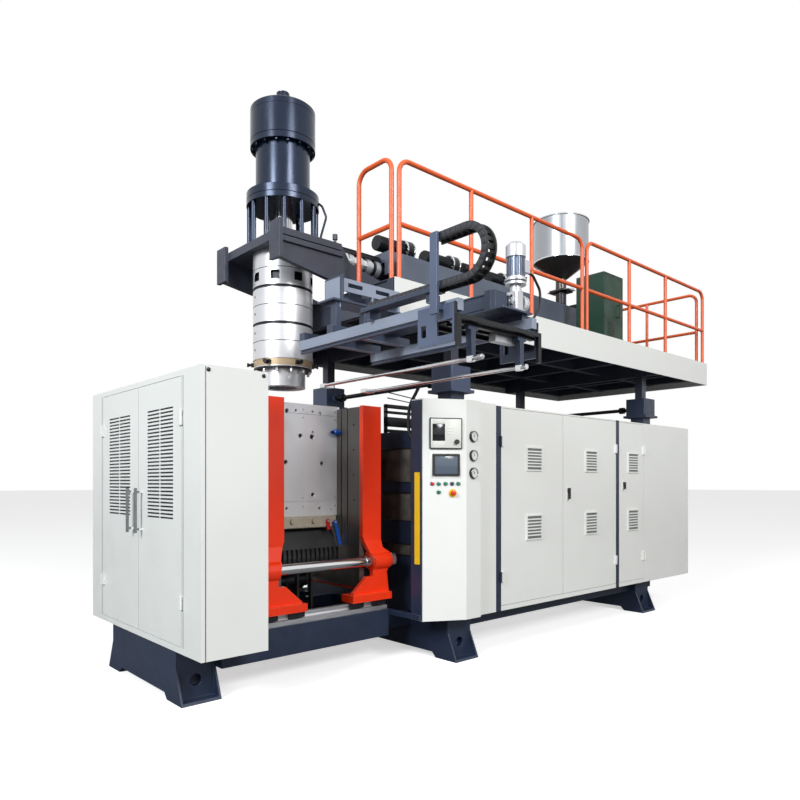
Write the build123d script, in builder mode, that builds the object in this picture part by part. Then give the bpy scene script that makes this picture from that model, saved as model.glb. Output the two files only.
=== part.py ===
from build123d import *
import os

# Extrusion blow moulding machine with an accumulator head.
# Millimetres, +Z up, floor at Z = 0. X runs along the machine, from the clamp to the extruder.
# Y runs across it, and the operator's side faces -Y.
# The datum planes below stand on the die axis, from which a machine like this is laid out.

# Reach of the machine from the die axis
reach_left = 1350.0
reach_right = 6000.0
reach_front = 2750.0
reach_rear = 1205.0
axis_x = (reach_left - reach_right) / 2
axis_y = (reach_front - reach_rear) / 2

# Clearances
running_gap = 0.05
slide_gap = 0.5
seat_gap = 0.3
door_gap = 3.0
sheet = 3.0


def level(z):
    """Plan sketch at a height: x along the machine, y across it."""
    return Plane(origin=(axis_x, axis_y, z), x_dir=(1, 0, 0), z_dir=(0, 0, 1))


def facing_front(y):
    """Upright sketch along the machine: x along it, y up, extruded towards the operator."""
    return Plane(origin=(axis_x, axis_y + y, 0), x_dir=(1, 0, 0), z_dir=(0, -1, 0))


def facing_right(x):
    """Upright sketch across the machine: x across it, y up, extruded towards the extruder."""
    return Plane(origin=(axis_x + x, axis_y, 0), x_dir=(0, 1, 0), z_dir=(1, 0, 0))


def bar(x, y, z, mode=Mode.ADD):
    """Rectangular bar between three pairs of coordinates."""
    with BuildSketch(level(min(z))) as section:
        with Locations(((x[0] + x[1]) / 2, (y[0] + y[1]) / 2)):
            Rectangle(abs(x[1] - x[0]), abs(y[1] - y[0]))
    extrude(section.sketch, amount=abs(z[1] - z[0]), mode=mode)


def round_bar(plane, places, radius, length, mode=Mode.ADD):
    """Round bars standing on a plane."""
    with BuildSketch(plane) as section:
        with Locations(*places):
            Circle(radius)
    extrude(section.sketch, amount=length, mode=mode)


def profile(plane, points, length, mode=Mode.ADD):
    """Straight-sided profile extruded from a plane."""
    with BuildSketch(plane) as section:
        with BuildLine():
            Polyline(*points, close=True)
        make_face()
    extrude(section.sketch, amount=length, mode=mode)


def keep(part, name):
    """Label a finished piece and write it."""
    part.label = name
    export_step(part, "parts/" + name + ".step")


def both(value):
    """A distance from the machine's centre line, on the front and on the rear."""
    return (-value, value)


os.makedirs("parts", exist_ok=True)

# Base frame: three cross beams on flared feet, and the long beams that join them
left_beam_x = (-1265.0, -965.0)
mid_beam_x = (975.0, 1265.0)
right_beam_x = (4230.0, 4530.0)
left_beam_half = 620.0
main_beam_half = 1105.0
beam_top = 385.0
beam_clearance = 45.0
foot_flare = 100.0
foot_height = 235.0
foot_plate = 20.0
foot_web = 14.0
foot_hole = 45.0
rail_beam_y = (560.0, 720.0)
rail_beam_z = (215.0, 445.0)
rail_beam_end = 625.0
spine_y = (855.0, 1025.0)
spine_z = (250.0, 385.0)
post_size = 170.0

# Lifting jacks that carry the platform
jack_x = (1190.0, 4660.0)
jack_y = 940.0
jack_foot_z = 2365.0
jack_flange = 300.0
jack_flange_thick = 28.0
jack_block = 260.0
jack_top_z = 2600.0
pillar_size = 95.0
pillar_gap = 0.6
shaft_z = 2480.0
shaft_radius = 22.0

with BuildPart() as base_frame:
    beams = ((left_beam_x, left_beam_half), (mid_beam_x, main_beam_half), (right_beam_x, main_beam_half))
    for span, half in beams:
        reach = half + foot_flare
        foot_length = reach - 250
        outline = [
            (-half, beam_top),
            (-half, foot_height),
            (-reach, 0),
            (-foot_length, 0),
            (-foot_length + beam_clearance, beam_clearance),
            (foot_length - beam_clearance, beam_clearance),
            (foot_length, 0),
            (reach, 0),
            (half, foot_height),
            (half, beam_top),
        ]
        profile(facing_right(span[0]), outline, span[1] - span[0])
        width = span[1] - span[0]
        middle = (span[0] + span[1]) / 2
        for side in (-1, 1):
            pocket = [
                (side * half, foot_plate),
                (side * (reach + 1), foot_plate),
                (side * (reach + 1), foot_height + foot_plate),
                (side * half, foot_height + foot_plate),
            ]
            profile(facing_right(span[0] + foot_web), pocket, width - 2 * foot_web, mode=Mode.SUBTRACT)
            hole_plane = facing_front(side * (half - 60) if side < 0 else half + 1)
            round_bar(hole_plane, [(middle, foot_height - 90)], foot_hole, 61, mode=Mode.SUBTRACT)
    for side in (-1, 1):
        bar((left_beam_x[1], rail_beam_end), (side * rail_beam_y[0], side * rail_beam_y[1]), rail_beam_z)
        bar((rail_beam_end, mid_beam_x[0]), (side * rail_beam_y[0], side * (rail_beam_y[0] + 80)), spine_z)
        bar((mid_beam_x[1], right_beam_x[0]), (side * spine_y[0], side * spine_y[1]), spine_z)
        bar((right_beam_x[1], jack_x[1] + post_size / 2), (side * spine_y[0], side * spine_y[1]), spine_z)
    bar((-110, 110), (-rail_beam_y[0], rail_beam_y[0]), (rail_beam_z[0], rail_beam_z[1] - 60))

keep(base_frame.part, "base_frame")

# Four posts on the base with a screw jack on each; the platform's pillars slide in them
with BuildPart() as lift_jacks:
    for x in jack_x:
        for side in (-1, 1):
            y = side * jack_y
            bar(
                (x - post_size / 2, x + post_size / 2),
                (y - post_size / 2, y + post_size / 2),
                (beam_top, jack_foot_z),
            )
            with BuildSketch(level(jack_foot_z)):
                with Locations((x, y)):
                    Rectangle(jack_flange, jack_flange)
            extrude(amount=jack_flange_thick)
            with BuildSketch(level(jack_foot_z + jack_flange_thick)):
                with Locations((x, y)):
                    RectangleRounded(jack_block, jack_block, 18)
            extrude(amount=jack_top_z - jack_foot_z - jack_flange_thick)
            with BuildSketch(level(jack_top_z)):
                with Locations((x, y)):
                    Rectangle(pillar_size + 2 * pillar_gap, pillar_size + 2 * pillar_gap)
            extrude(amount=-(jack_top_z - jack_foot_z - 20), mode=Mode.SUBTRACT)
            bearing_face = facing_front(y + side * -jack_block / 2 + (0 if side > 0 else 30))
            round_bar(bearing_face, [(x, shaft_z)], 45, 30)

keep(lift_jacks.part, "lift_jacks")

# Cross shafts that turn the front and rear jack of each pair together
for x, name in ((jack_x[0], "lift_shaft_left"), (jack_x[1], "lift_shaft_right")):
    with BuildPart() as lift_shaft:
        half = jack_y - jack_block / 2 - 30 - slide_gap
        round_bar(facing_front(half), [(x, shaft_z)], shaft_radius, 2 * half)
        for y in (-half + 120, half - 60):
            round_bar(facing_front(y), [(x, shaft_z)], shaft_radius + 18, 60)
    keep(lift_shaft.part, name)

# Linear rails under the platens
rail_y = 640.0
rail_top = 525.0
rail_width = 45.0
rail_end = 900.0
rail_bed = 35.0

with BuildPart() as guide_rails:
    for side in (-1, 1):
        y = side * rail_y
        bed_top = rail_beam_z[1] + rail_bed
        w = rail_width / 2
        bar((-rail_end, rail_beam_end), (y - 60, y + 60), (rail_beam_z[1], bed_top))
        section = [
            (y - w, bed_top),
            (y + w, bed_top),
            (y + w * 0.6, bed_top + 16),
            (y + w, rail_top - 12),
            (y + w, rail_top),
            (y - w, rail_top),
            (y - w, rail_top - 12),
            (y - w * 0.6, bed_top + 16),
        ]
        profile(facing_right(-rail_end), section, rail_beam_end + rail_end)

keep(guide_rails.part, "guide_rails")

# Clamp: each platen is an orange frame with a steel face plate on its inner side.
# Bearing blocks under its feet straddle the rails.
platen_face = 396.0
platen_plate = 50.0
platen_back = 602.0
platen_boss_end = 665.0
platen_top = 2222.0
cheek_y = 645.0
cheek_thick = 45.0
leg_y = 690.0
leg_inner_x = 475.0
flare_z = (930.0, 1050.0)
foot_top = 597.0
foot_bottom = 535.0
foot_inner = 230.0
foot_end = 660.0
foot_y = (560.0, 725.0)
tie_y = 655.0
tie_z = 870.0
tie_radius = 45.0
boss_radius = 80.0
tie_end = 1130.0
tie_nut = 50.0
rib_thick = 40.0
rib_levels = (1090.0, 1640.0, 2180.0)
guide_block_x = ((232.0, 372.0), (480.0, 620.0))
plate_bottom = 640.0
ram_y = 95.0
ram_z = 690.0
ram_rod_radius = 24.0
ram_body_radius = 52.0
ram_body = (-170.0, 225.0)


def mirrored(pair, hand):
    """A pair of X coordinates on the right (hand = 1) or left (hand = -1) of the parting plane."""
    return (hand * pair[0], hand * pair[1])


def platen_frame(hand, bore):
    """Orange platen frame on one side of the parting plane, with bores for the tie bars."""
    depth = platen_boss_end - platen_face
    start = facing_right(platen_face if hand > 0 else -platen_boss_end)
    with BuildPart() as frame:
        for side in (-1, 1):
            inner = cheek_y - cheek_thick
            leg_inner = leg_y - cheek_thick
            section = [
                (side * cheek_y, platen_top),
                (side * cheek_y, flare_z[1]),
                (side * leg_y, flare_z[0]),
                (side * leg_y, foot_top),
                (side * leg_inner, foot_top),
                (side * leg_inner, flare_z[0] - 10),
                (side * inner, flare_z[1] - 10),
                (side * inner, platen_top),
            ]
            profile(start, section, depth)
            round_bar(start, [(side * tie_y, tie_z)], boss_radius, depth)
        for z in rib_levels:
            span = mirrored((platen_face + platen_plate, platen_back), hand)
            bar(span, both(cheek_y - cheek_thick), (z, z + rib_thick))
        web = mirrored((platen_face + platen_plate, platen_back - 30), hand)
        bar(web, both(rib_thick / 2), (foot_top, rib_levels[-1]))
        bar(mirrored((leg_inner_x, platen_back), hand), both(leg_y - cheek_thick), (foot_top, foot_top + 90))
        outline = [
            (hand * leg_inner_x, foot_top),
            (hand * leg_inner_x, 880),
            (hand * platen_face, 1090),
            (hand * platen_face, platen_top),
            (hand * platen_back, platen_top),
            (hand * platen_back, 985),
            (hand * platen_boss_end, 945),
            (hand * platen_boss_end, 835),
            (hand * 632, 768),
            (hand * (foot_end - 5), foot_top),
        ]
        profile(facing_front(reach_rear), outline, 2 * reach_rear, mode=Mode.INTERSECT)
        for side in (-1, 1):
            bar(
                mirrored((foot_inner, foot_end), hand),
                (side * foot_y[0], side * foot_y[1]),
                (foot_bottom, foot_top),
            )
            gusset = [
                (hand * leg_inner_x, 742),
                (hand * 410, 742),
                (hand * (foot_inner + 30), foot_top + 14),
                (hand * (foot_inner + 30), foot_top),
                (hand * leg_inner_x, foot_top),
            ]
            outer_face = leg_y if side > 0 else -(leg_y - cheek_thick)
            profile(facing_front(outer_face), gusset, cheek_thick)
            for span in guide_block_x:
                x = mirrored(span, hand)
                bar(
                    x,
                    (side * (rail_y - 50), side * (rail_y + 50)),
                    (rail_beam_z[1] + rail_bed + 8, foot_bottom),
                )
                slot = rail_width / 2 + slide_gap
                slot_z = (rail_beam_z[1], rail_top + slide_gap)
                bar(x, (side * rail_y - slot, side * rail_y + slot), slot_z, mode=Mode.SUBTRACT)
            bores = facing_right(platen_face if hand > 0 else -platen_boss_end - 1)
            round_bar(bores, [(side * tie_y, tie_z)], tie_radius + bore, depth + 1, mode=Mode.SUBTRACT)
    return frame


left_platen = platen_frame(-1, running_gap)
keep(left_platen.part, "left_platen")
right_platen = platen_frame(1, running_gap)
keep(right_platen.part, "right_platen")

# Steel face plates with T slots, tapped holes and the clamp rams' rods
for hand, name in ((-1, "left_platen_plate"), (1, "right_platen_plate")):
    with BuildPart() as platen_face_plate:
        plate_x = mirrored((platen_face, platen_face + platen_plate), hand)
        bar(plate_x, both(cheek_y - cheek_thick), (plate_bottom, platen_top - 8))
        for y in (-430, -340, 340, 430):
            bar(
                mirrored((platen_face - 1, platen_face + 12), hand),
                (y - 9, y + 9),
                (1000, platen_top),
                mode=Mode.SUBTRACT,
            )
        for y in both(520):
            for z in (1180, 1400, 1620, 1840, 2060):
                hole = facing_right(hand * platen_face - (0 if hand > 0 else 30))
                round_bar(hole, [(y, z)], 9, 30, mode=Mode.SUBTRACT)
        rod_start = ram_body[1] - 60 if hand > 0 else -platen_face
        rod_y = hand * ram_y
        round_bar(facing_right(rod_start), [(rod_y, ram_z)], ram_rod_radius, platen_face - ram_body[1] + 60)
    keep(platen_face_plate.part, name)

# Tie bars: fixed in the right platen, sliding in the left one, with a nut at each end
with BuildPart() as tie_bars:
    places = [(-tie_y, tie_z), (tie_y, tie_z)]
    round_bar(facing_right(-tie_end), places, tie_radius, tie_end + platen_boss_end + tie_nut)
    round_bar(facing_right(platen_boss_end), places, tie_radius + 26, tie_nut)
    round_bar(facing_right(-tie_end - tie_nut), places, tie_radius + 22, tie_nut)
    round_bar(facing_right(platen_face + 6), places, tie_radius + 9, 34)

keep(tie_bars.part, "tie_bars")

# Clamp rams on a saddle over the middle of the base
with BuildPart() as clamp_rams:
    for hand in (-1, 1):
        start = ram_body[0] if hand > 0 else -ram_body[1]
        length = ram_body[1] - ram_body[0]
        place = [(hand * ram_y, ram_z)]
        round_bar(facing_right(start), place, ram_body_radius, length)
        round_bar(facing_right(start), place, ram_body_radius + 12, 30)
        round_bar(facing_right(start + length - 30), place, ram_body_radius + 12, 30)
        bore = facing_right(start + 30) if hand > 0 else facing_right(start - 1)
        round_bar(bore, place, ram_rod_radius + slide_gap, length - 29, mode=Mode.SUBTRACT)
    bar((-90, 90), both(170), (rail_beam_z[1] - 60, rail_beam_z[1] - 40))
    for x in (-60, 40):
        bar((x, x + 20), both(150), (rail_beam_z[1] - 40, ram_z + 10))
        round_bar(
            facing_right(x - 1),
            [(ram_y, ram_z), (-ram_y, ram_z)],
            ram_rod_radius + slide_gap,
            22,
            mode=Mode.SUBTRACT,
        )

keep(clamp_rams.part, "clamp_rams")

# Mould halves, parted under the die, with the bottle cavity and the cooling water manifold
mould_y = 272.0
mould_z = (1260.0, 2238.0)
mould_joints = (1389.0, 2150.0)
mould_groove = 5.0
cavity_radius = 150.0
cavity_z = (1430.0, 2040.0)
neck_radius = 70.0
port_depth = 30.0
right_ports = [
    (130, 2177, 10),
    (213, 2167, 16),
    (3, 1959, 19),
    (133, 1999, 12),
    (124, 1954, 22),
    (229, 1724, 17),
    (133, 1449, 17),
    (204, 1327, 11),
    (335, 1314, 8),
]
left_ports = [(-133, 2166, 18), (-43, 2176, 10), (3, 1959, 19), (-145, 1728, 18), (-135, 1332, 12)]
manifold_y = (-318.0, -258.0)
manifold_z = (1165.0, 1260.0)
manifold_end = (212.0, 350.0)
lever_pin = 9.0

for hand, name, ports in ((-1, "mould_left", left_ports), (1, "mould_right", right_ports)):
    with BuildPart() as mould:
        bar((0, hand * platen_face), both(mould_y), mould_z)
        for z in mould_joints:
            for side in (-1, 1):
                x = (-1, hand * (platen_face + 1))
                groove_y = (side * (mould_y - mould_groove), side * (mould_y + 1))
                bar((x[0] * hand, x[1]), groove_y, (z - 2, z + 2), mode=Mode.SUBTRACT)
        round_bar(level(cavity_z[0]), [(0, 0)], cavity_radius, cavity_z[1] - cavity_z[0], mode=Mode.SUBTRACT)
        round_bar(level(cavity_z[1]), [(0, 0)], neck_radius, mould_z[1] - cavity_z[1], mode=Mode.SUBTRACT)
        for x, z, radius in ports:
            round_bar(facing_front(-mould_y + port_depth), [(x, z)], radius, port_depth, mode=Mode.SUBTRACT)
        end = manifold_end[1] if hand > 0 else manifold_end[0]
        bar((0, hand * end), manifold_y, manifold_z)
        round_bar(facing_front(manifold_y[0]), [(hand * 110, 1221)], 22, 20)
        if hand > 0:
            for pin_x, pin_z, lever_gap in ((256, 1215, 4), (318, 1205, 26)):
                round_bar(facing_front(manifold_y[0]), [(pin_x, pin_z)], lever_pin, lever_gap + 16)
    keep(mould.part, name)

# Ball valve levers on the manifold, hanging from their pins
lever_thick = 12.0
levers = (
    ("valve_lever_red", 256.0, 1215.0, 3.0, 78.0, 34.0, 4.0),
    ("valve_lever_blue", 318.0, 1205.0, 15.0, 215.0, 36.0, 26.0),
)
for name, pin_x, pin_z, tilt, length, width, lever_gap in levers:
    with BuildPart() as lever:
        back = manifold_y[0] - lever_gap
        with BuildSketch(facing_front(back)):
            with Locations((pin_x, pin_z)):
                Circle(width / 2)
                with Locations(Location((0, 0, 0), (0, 0, tilt))):
                    with Locations((0, -length / 2)):
                        Rectangle(width, length)
            with Locations((pin_x, pin_z)):
                Circle(lever_pin + running_gap, mode=Mode.SUBTRACT)
        extrude(amount=lever_thick)
    keep(lever.part, name)

# Ribbed parison chute under the mould
chute_x = (-231.0, 339.0)
chute_ribs = 13
chute_rib = 8.0
chute_wall = 6.0

with BuildPart() as drop_chute:
    curve = [(-225, 1152), (-270, 1130), (-305, 1060), (-340, 985), (-356, 910), (-356, 846)]
    inside = [(y + chute_wall, z) for y, z in reversed(curve[1:])] + [(curve[0][0], curve[0][1] - chute_wall)]
    profile(facing_right(chute_x[0]), curve + inside, chute_x[1] - chute_x[0])
    pitch = (chute_x[1] - chute_x[0] - chute_rib) / (chute_ribs - 1)
    for index in range(chute_ribs):
        x = chute_x[0] + index * pitch
        bar((x, x + chute_rib), (-372, -335), (846, 985))
    for x in (-80, 60):
        bar((x, x + 20), (-350, -310), (rail_beam_z[1] - 60, 980))

keep(drop_chute.part, "drop_chute")

# Left cabinet over the clamp's end, open towards the platens, with two louvred doors
left_box_x = (-1290.0, -794.0)
left_box_y = (-1070.0, 1050.0)
left_box_z = (beam_top, 2320.0)
left_door_y = (-773.0, -5.0, 778.0)
left_door_z = (430.0, 2280.0)
left_hinge_z = ((689.0, 777.0), (1943.0, 2045.0))
hinge_radius = 9.0
hinge_out = 12.0
hinge_side = 14.0
hinge_leaf = 34.0
leaf_half = 4.0
door_thick = 22.0
louvre_z = (1290.0, 2090.0)
louvre_count = 30
louvre_height = 12.0
louvre_bar = 16.0
handle_reach = reach_left - 1290.0
handle_z = (1173.0, 1512.0)
handle_size = 18.0

with BuildPart() as left_cabinet:
    bar(left_box_x, left_box_y, left_box_z)
    inside_x = (left_box_x[0] + sheet, left_box_x[1] + 1)
    inside_y = (left_box_y[0] + sheet, left_box_y[1] - sheet)
    bar(inside_x, inside_y, (left_box_z[0] + sheet, left_box_z[1] - sheet), mode=Mode.SUBTRACT)
    bar(
        (left_beam_x[1], inside_x[1]),
        inside_y,
        (left_box_z[0] - 1, left_box_z[0] + sheet),
        mode=Mode.SUBTRACT,
    )
    bar(
        (left_box_x[0] - 1, inside_x[0] + 1),
        (left_door_y[0], left_door_y[2]),
        left_door_z,
        mode=Mode.SUBTRACT,
    )
    for y in (left_box_y[0], left_box_y[1] - 40):
        bar((left_box_x[0], left_box_x[0] + 40), (y, y + 40), left_box_z)
        bar((left_box_x[1] - 25, left_box_x[1]), (y, y + 40), left_box_z)
    for y in (left_door_y[0] - hinge_side, left_door_y[2] + hinge_side):
        for z in left_hinge_z:
            bar((left_box_x[0] - hinge_out, left_box_x[0]), (y - 6, y + 6), z)
            round_bar(level(z[0]), [(left_box_x[0] - hinge_out, y)], hinge_radius, z[1] - z[0])

keep(left_cabinet.part, "left_cabinet")

left_doors = (
    ("vent_door_front", left_door_y[0], left_door_y[1], -635.0, -181.0, -79.0),
    ("vent_door_rear", left_door_y[1], left_door_y[2], 168.0, 631.0, 87.0),
)
for name, y_start, y_end, slot_start, slot_end, handle_y in left_doors:
    with BuildPart() as vent_door:
        door_x = (left_box_x[0], left_box_x[0] + door_thick)
        door_y = (y_start + door_gap, y_end - door_gap)
        door_z = (left_door_z[0] + door_gap, left_door_z[1] - door_gap)
        bar(door_x, door_y, door_z)
        hollow_x = (door_x[0] + sheet, door_x[1] + 1)
        bar(hollow_x, (door_y[0] + 30, door_y[1] - 30), (door_z[0] + 30, door_z[1] - 30), mode=Mode.SUBTRACT)
        pitch = (louvre_z[1] - louvre_z[0]) / louvre_count
        middle = (slot_start + slot_end) / 2
        with BuildSketch(facing_right(door_x[0] - 1)):
            for index in range(louvre_count):
                z = louvre_z[0] + (index + 0.5) * pitch
                half = (slot_end - slot_start - louvre_bar) / 2
                with Locations((middle - (half + louvre_bar) / 2, z), (middle + (half + louvre_bar) / 2, z)):
                    Rectangle(half, louvre_height)
        extrude(amount=sheet + 2, mode=Mode.SUBTRACT)
        hinge_at = left_door_y[0] - hinge_side if handle_y < 0 else left_door_y[2] + hinge_side
        inward = 1 if handle_y < 0 else -1
        leaf_y = (hinge_at + inward * (hinge_radius + seat_gap), hinge_at + inward * (hinge_radius + hinge_leaf))
        for z in left_hinge_z:
            bar((door_x[0] - hinge_out - leaf_half, door_x[0]), leaf_y, z)
        out = door_x[0] - handle_reach
        bar((out, out + handle_size), (handle_y - handle_size / 2, handle_y + handle_size / 2), handle_z)
        for z in (handle_z[0] + 20, handle_z[1] - 20 - handle_size):
            bar(
                (out, door_x[0]),
                (handle_y - handle_size / 2, handle_y + handle_size / 2),
                (z, z + handle_size),
            )
    keep(vent_door.part, name)

# Control cabinet, with the operator panel on its slanted face
cabinet_z = (beam_top, 2262.0)
control_plan = [
    (665, -1110),
    (1000, -1300),
    (1187, -1300),
    (1187, -1250),
    (1452, -1250),
    (1452, -830),
    (975, -830),
    (665, -975),
]
panel_face = Plane(
    origin=(axis_x + 665, axis_y - 1110, 0),
    x_dir=(1000 - 665, 1110 - 1300, 0),
    z_dir=(1110 - 1300, 665 - 1000, 0),
)
button_hole = 12.5
stem_radius = 12.2
button_radius = 14.0
button_out = 13.0
button_behind = 12.0
bezel_radius = 19.0
bezel_thick = 5.0
button_places = [(82, 1545), (138, 1545), (199, 1545), (256, 1545), (312, 1545), (139, 1474)]
stop_place = (262.0, 1465.0)
stop_radius = 22.0
stop_ring = 35.0
knob_place = (293.0, 1898.0)
knob_radius = 20.0
controller_x = (58.0, 343.0)
controller_z = (1838.0, 2100.0)
controller_out = 14.0
screen_x = (82.0, 190.0)
screen_z = (1905.0, 2048.0)
terminal_x = (85.0, 323.0)
terminal_z = (1609.0, 1795.0)
frame_margin = 18.0
screen_sink = 5.0
gauge_x = 1081.0
gauge_z = (1636.0, 1786.0, 1951.0)
gauge_radius = 46.0
gauge_out = 24.0
post_gap = 2.0

with BuildPart() as control_cabinet:
    profile(level(cabinet_z[0]), control_plan, cabinet_z[1] - cabinet_z[0])
    with BuildSketch(level(cabinet_z[0] + sheet)):
        with BuildLine():
            Polyline(*control_plan, close=True)
        make_face()
        offset(amount=-sheet, kind=Kind.INTERSECTION, mode=Mode.REPLACE)
    extrude(amount=cabinet_z[1] - cabinet_z[0] - 2 * sheet, mode=Mode.SUBTRACT)
    hole = post_size / 2 + post_gap
    hole_x = (jack_x[0] - hole, jack_x[0] + hole)
    hole_z = (cabinet_z[0] - 1, cabinet_z[1] + 1)
    bar(hole_x, (-jack_y - hole, -jack_y + hole), hole_z, mode=Mode.SUBTRACT)
    through = panel_face.offset(-2 * sheet)
    round_bar(through, button_places + [stop_place], button_hole, 3 * sheet, mode=Mode.SUBTRACT)

keep(control_cabinet.part, "control_cabinet")

with BuildPart() as operator_panel:
    for span_x, span_z in ((controller_x, controller_z), (terminal_x, terminal_z)):
        with BuildSketch(panel_face):
            with Locations(((span_x[0] + span_x[1]) / 2, (span_z[0] + span_z[1]) / 2)):
                RectangleRounded(span_x[1] - span_x[0], span_z[1] - span_z[0], 6)
        extrude(amount=controller_out)
    glass_x = (terminal_x[0] + frame_margin, terminal_x[1] - frame_margin)
    glass_z = (terminal_z[0] + frame_margin, terminal_z[1] - frame_margin)
    for span_x, span_z in ((screen_x, screen_z), (glass_x, glass_z)):
        with BuildSketch(panel_face.offset(controller_out - screen_sink)):
            with Locations(((span_x[0] + span_x[1]) / 2, (span_z[0] + span_z[1]) / 2)):
                Rectangle(span_x[1] - span_x[0], span_z[1] - span_z[0])
        extrude(amount=screen_sink, mode=Mode.SUBTRACT)
    round_bar(panel_face.offset(controller_out), [knob_place], 6, 10)
    for x, z in button_places:
        with BuildSketch(panel_face):
            with Locations((x, z)):
                Circle(bezel_radius)
                Circle(button_radius + slide_gap, mode=Mode.SUBTRACT)
        extrude(amount=bezel_thick)
    with BuildSketch(panel_face):
        with Locations(stop_place):
            Circle(stop_ring)
            Circle(button_hole, mode=Mode.SUBTRACT)
    extrude(amount=bezel_thick)
    round_bar(facing_front(-1300), [(gauge_x, z) for z in gauge_z], gauge_radius, gauge_out)
    round_bar(
        facing_front(-1300 - gauge_out + 6),
        [(gauge_x, z) for z in gauge_z],
        gauge_radius - 6,
        6,
        mode=Mode.SUBTRACT,
    )

keep(operator_panel.part, "operator_panel")

for index, place in enumerate(button_places):
    with BuildPart() as push_button:
        round_bar(panel_face.offset(-button_behind), [place], stem_radius, button_behind + button_out)
        round_bar(panel_face.offset(bezel_thick + 1), [place], button_radius, button_out - bezel_thick - 1)
    keep(push_button.part, "push_button_" + str(index + 1))

with BuildPart() as emergency_stop:
    round_bar(panel_face.offset(-button_behind), [stop_place], stem_radius, button_behind + 30)
    with BuildSketch(panel_face.offset(bezel_thick + 9)):
        with Locations(stop_place):
            Circle(stop_radius)
    extrude(amount=16)

keep(emergency_stop.part, "emergency_stop")

with BuildPart() as setting_knob:
    with BuildSketch(panel_face.offset(controller_out + 1)):
        with Locations(knob_place):
            Circle(knob_radius)
            Circle(6 + running_gap, mode=Mode.SUBTRACT)
    extrude(amount=11)
    with BuildSketch(panel_face.offset(controller_out + 12)):
        with Locations(knob_place):
            Circle(knob_radius)
    extrude(amount=10)
    with BuildSketch(panel_face.offset(controller_out + 14)):
        with Locations((knob_place[0], knob_place[1] + knob_radius - 5)):
            Rectangle(3, 10)
    extrude(amount=9, mode=Mode.SUBTRACT)

keep(setting_knob.part, "setting_knob")

# Electrical cabinets along the operator's side
bank_x = (1452.0, 5314.0)
bank_y = (-1250.0, -800.0)
bank_z = (beam_top, 2250.0)
bank_posts = ((1452.0, 1523.0), (3529.0, 3593.0))
bank_doors = ((1523.0, 2503.0), (2503.0, 3529.0), (3593.0, 4148.0))
bank_door_z = (430.0, 2236.0)
bank_hinge_z = (694.0, 1930.0)
bank_hinge_half = 48.0
bank_hinges = ((1511.0, bank_hinge_z), (3541.0, bank_hinge_z), (4162.0, bank_hinge_z))
grille_x = ((1894.0, 2143.0), (2905.0, 3138.0), (3780.0, 4019.0))
grille_z = ((1005.0, 1247.0), (1665.0, 1895.0))
grille_out = 12.0
grille_slats = 7
latches = ((2583.0, 1387.0, 1499.0), (3680.0, 1482.0, 1561.0))
latch_width = 26.0
latch_pin = 7.0
latch_seat = 8.0
latch_out = 32.0

with BuildPart() as electrical_cabinet:
    bar(bank_x, bank_y, bank_z)
    inner_y = (bank_y[0] + sheet, bank_y[1] - sheet)
    bar(
        (bank_x[0] + sheet, bank_x[1] - sheet),
        inner_y,
        (bank_z[0] + sheet, bank_z[1] - sheet),
        mode=Mode.SUBTRACT,
    )
    for span in bank_doors:
        bar(span, (bank_y[0] - 1, bank_y[0] + sheet + 1), bank_door_z, mode=Mode.SUBTRACT)
    hole_x = (jack_x[1] - hole, jack_x[1] + hole)
    bar(hole_x, (-jack_y - hole, -jack_y + hole), (bank_z[0] - 1, bank_z[1] + 1), mode=Mode.SUBTRACT)
    for span in bank_posts + ((4148.0, 4200.0),):
        bar(span, (bank_y[0], bank_y[0] + 40), (bank_z[0], bank_z[1]))
    for x, heights in bank_hinges:
        for z in heights:
            round_bar(
                level(z - bank_hinge_half),
                [(x, bank_y[0] - hinge_out)],
                hinge_radius,
                2 * bank_hinge_half,
            )
            bar(
                (x - 6, x + 6),
                (bank_y[0] - hinge_out, bank_y[0]),
                (z - bank_hinge_half, z + bank_hinge_half),
            )

keep(electrical_cabinet.part, "electrical_cabinet")

for index, span in enumerate(bank_doors):
    with BuildPart() as cabinet_door:
        door_x = (span[0] + door_gap, span[1] - door_gap)
        door_z = (bank_door_z[0] + door_gap, bank_door_z[1] - door_gap)
        bar(door_x, (bank_y[0], bank_y[0] + door_thick), door_z)
        hollow_y = (bank_y[0] + sheet, bank_y[0] + door_thick + 1)
        bar((door_x[0] + 30, door_x[1] - 30), hollow_y, (door_z[0] + 30, door_z[1] - 30), mode=Mode.SUBTRACT)
        hinge_at = bank_hinges[index][0]
        inward = 1 if hinge_at < span[0] else -1
        leaf_x = (hinge_at + inward * (hinge_radius + seat_gap), hinge_at + inward * (hinge_radius + hinge_leaf))
        for z in bank_hinge_z:
            leaf_z = (z - bank_hinge_half, z + bank_hinge_half)
            bar(leaf_x, (bank_y[0] - hinge_out - leaf_half, bank_y[0]), leaf_z)
        for z in grille_z:
            x = grille_x[index]
            bar(x, (bank_y[0] - grille_out, bank_y[0]), z)
            well = ((x[0] + 14, x[1] - 14), (z[0] + 14, z[1] - 14))
            bar(well[0], (bank_y[0] - grille_out - 1, bank_y[0] - 4), well[1], mode=Mode.SUBTRACT)
            pitch = (well[1][1] - well[1][0]) / grille_slats
            for slat in range(1, grille_slats):
                level_z = well[1][0] + slat * pitch
                bar(well[0], (bank_y[0] - grille_out + 2, bank_y[0] - 4), (level_z - 7, level_z + 7))
        if index > 0:
            latch_x, latch_low, latch_high = latches[index - 1]
            seat = ((latch_x - 17, latch_x + 17), (latch_low - 12, latch_high + 12))
            bar(seat[0], (bank_y[0] - latch_seat, bank_y[0]), seat[1])
            pin = [(latch_x, latch_high - latch_width / 2)]
            round_bar(facing_front(bank_y[0] - latch_seat), pin, latch_pin, latch_out - latch_seat - 6)
    keep(cabinet_door.part, "electrical_door_" + str(index + 1))

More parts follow.
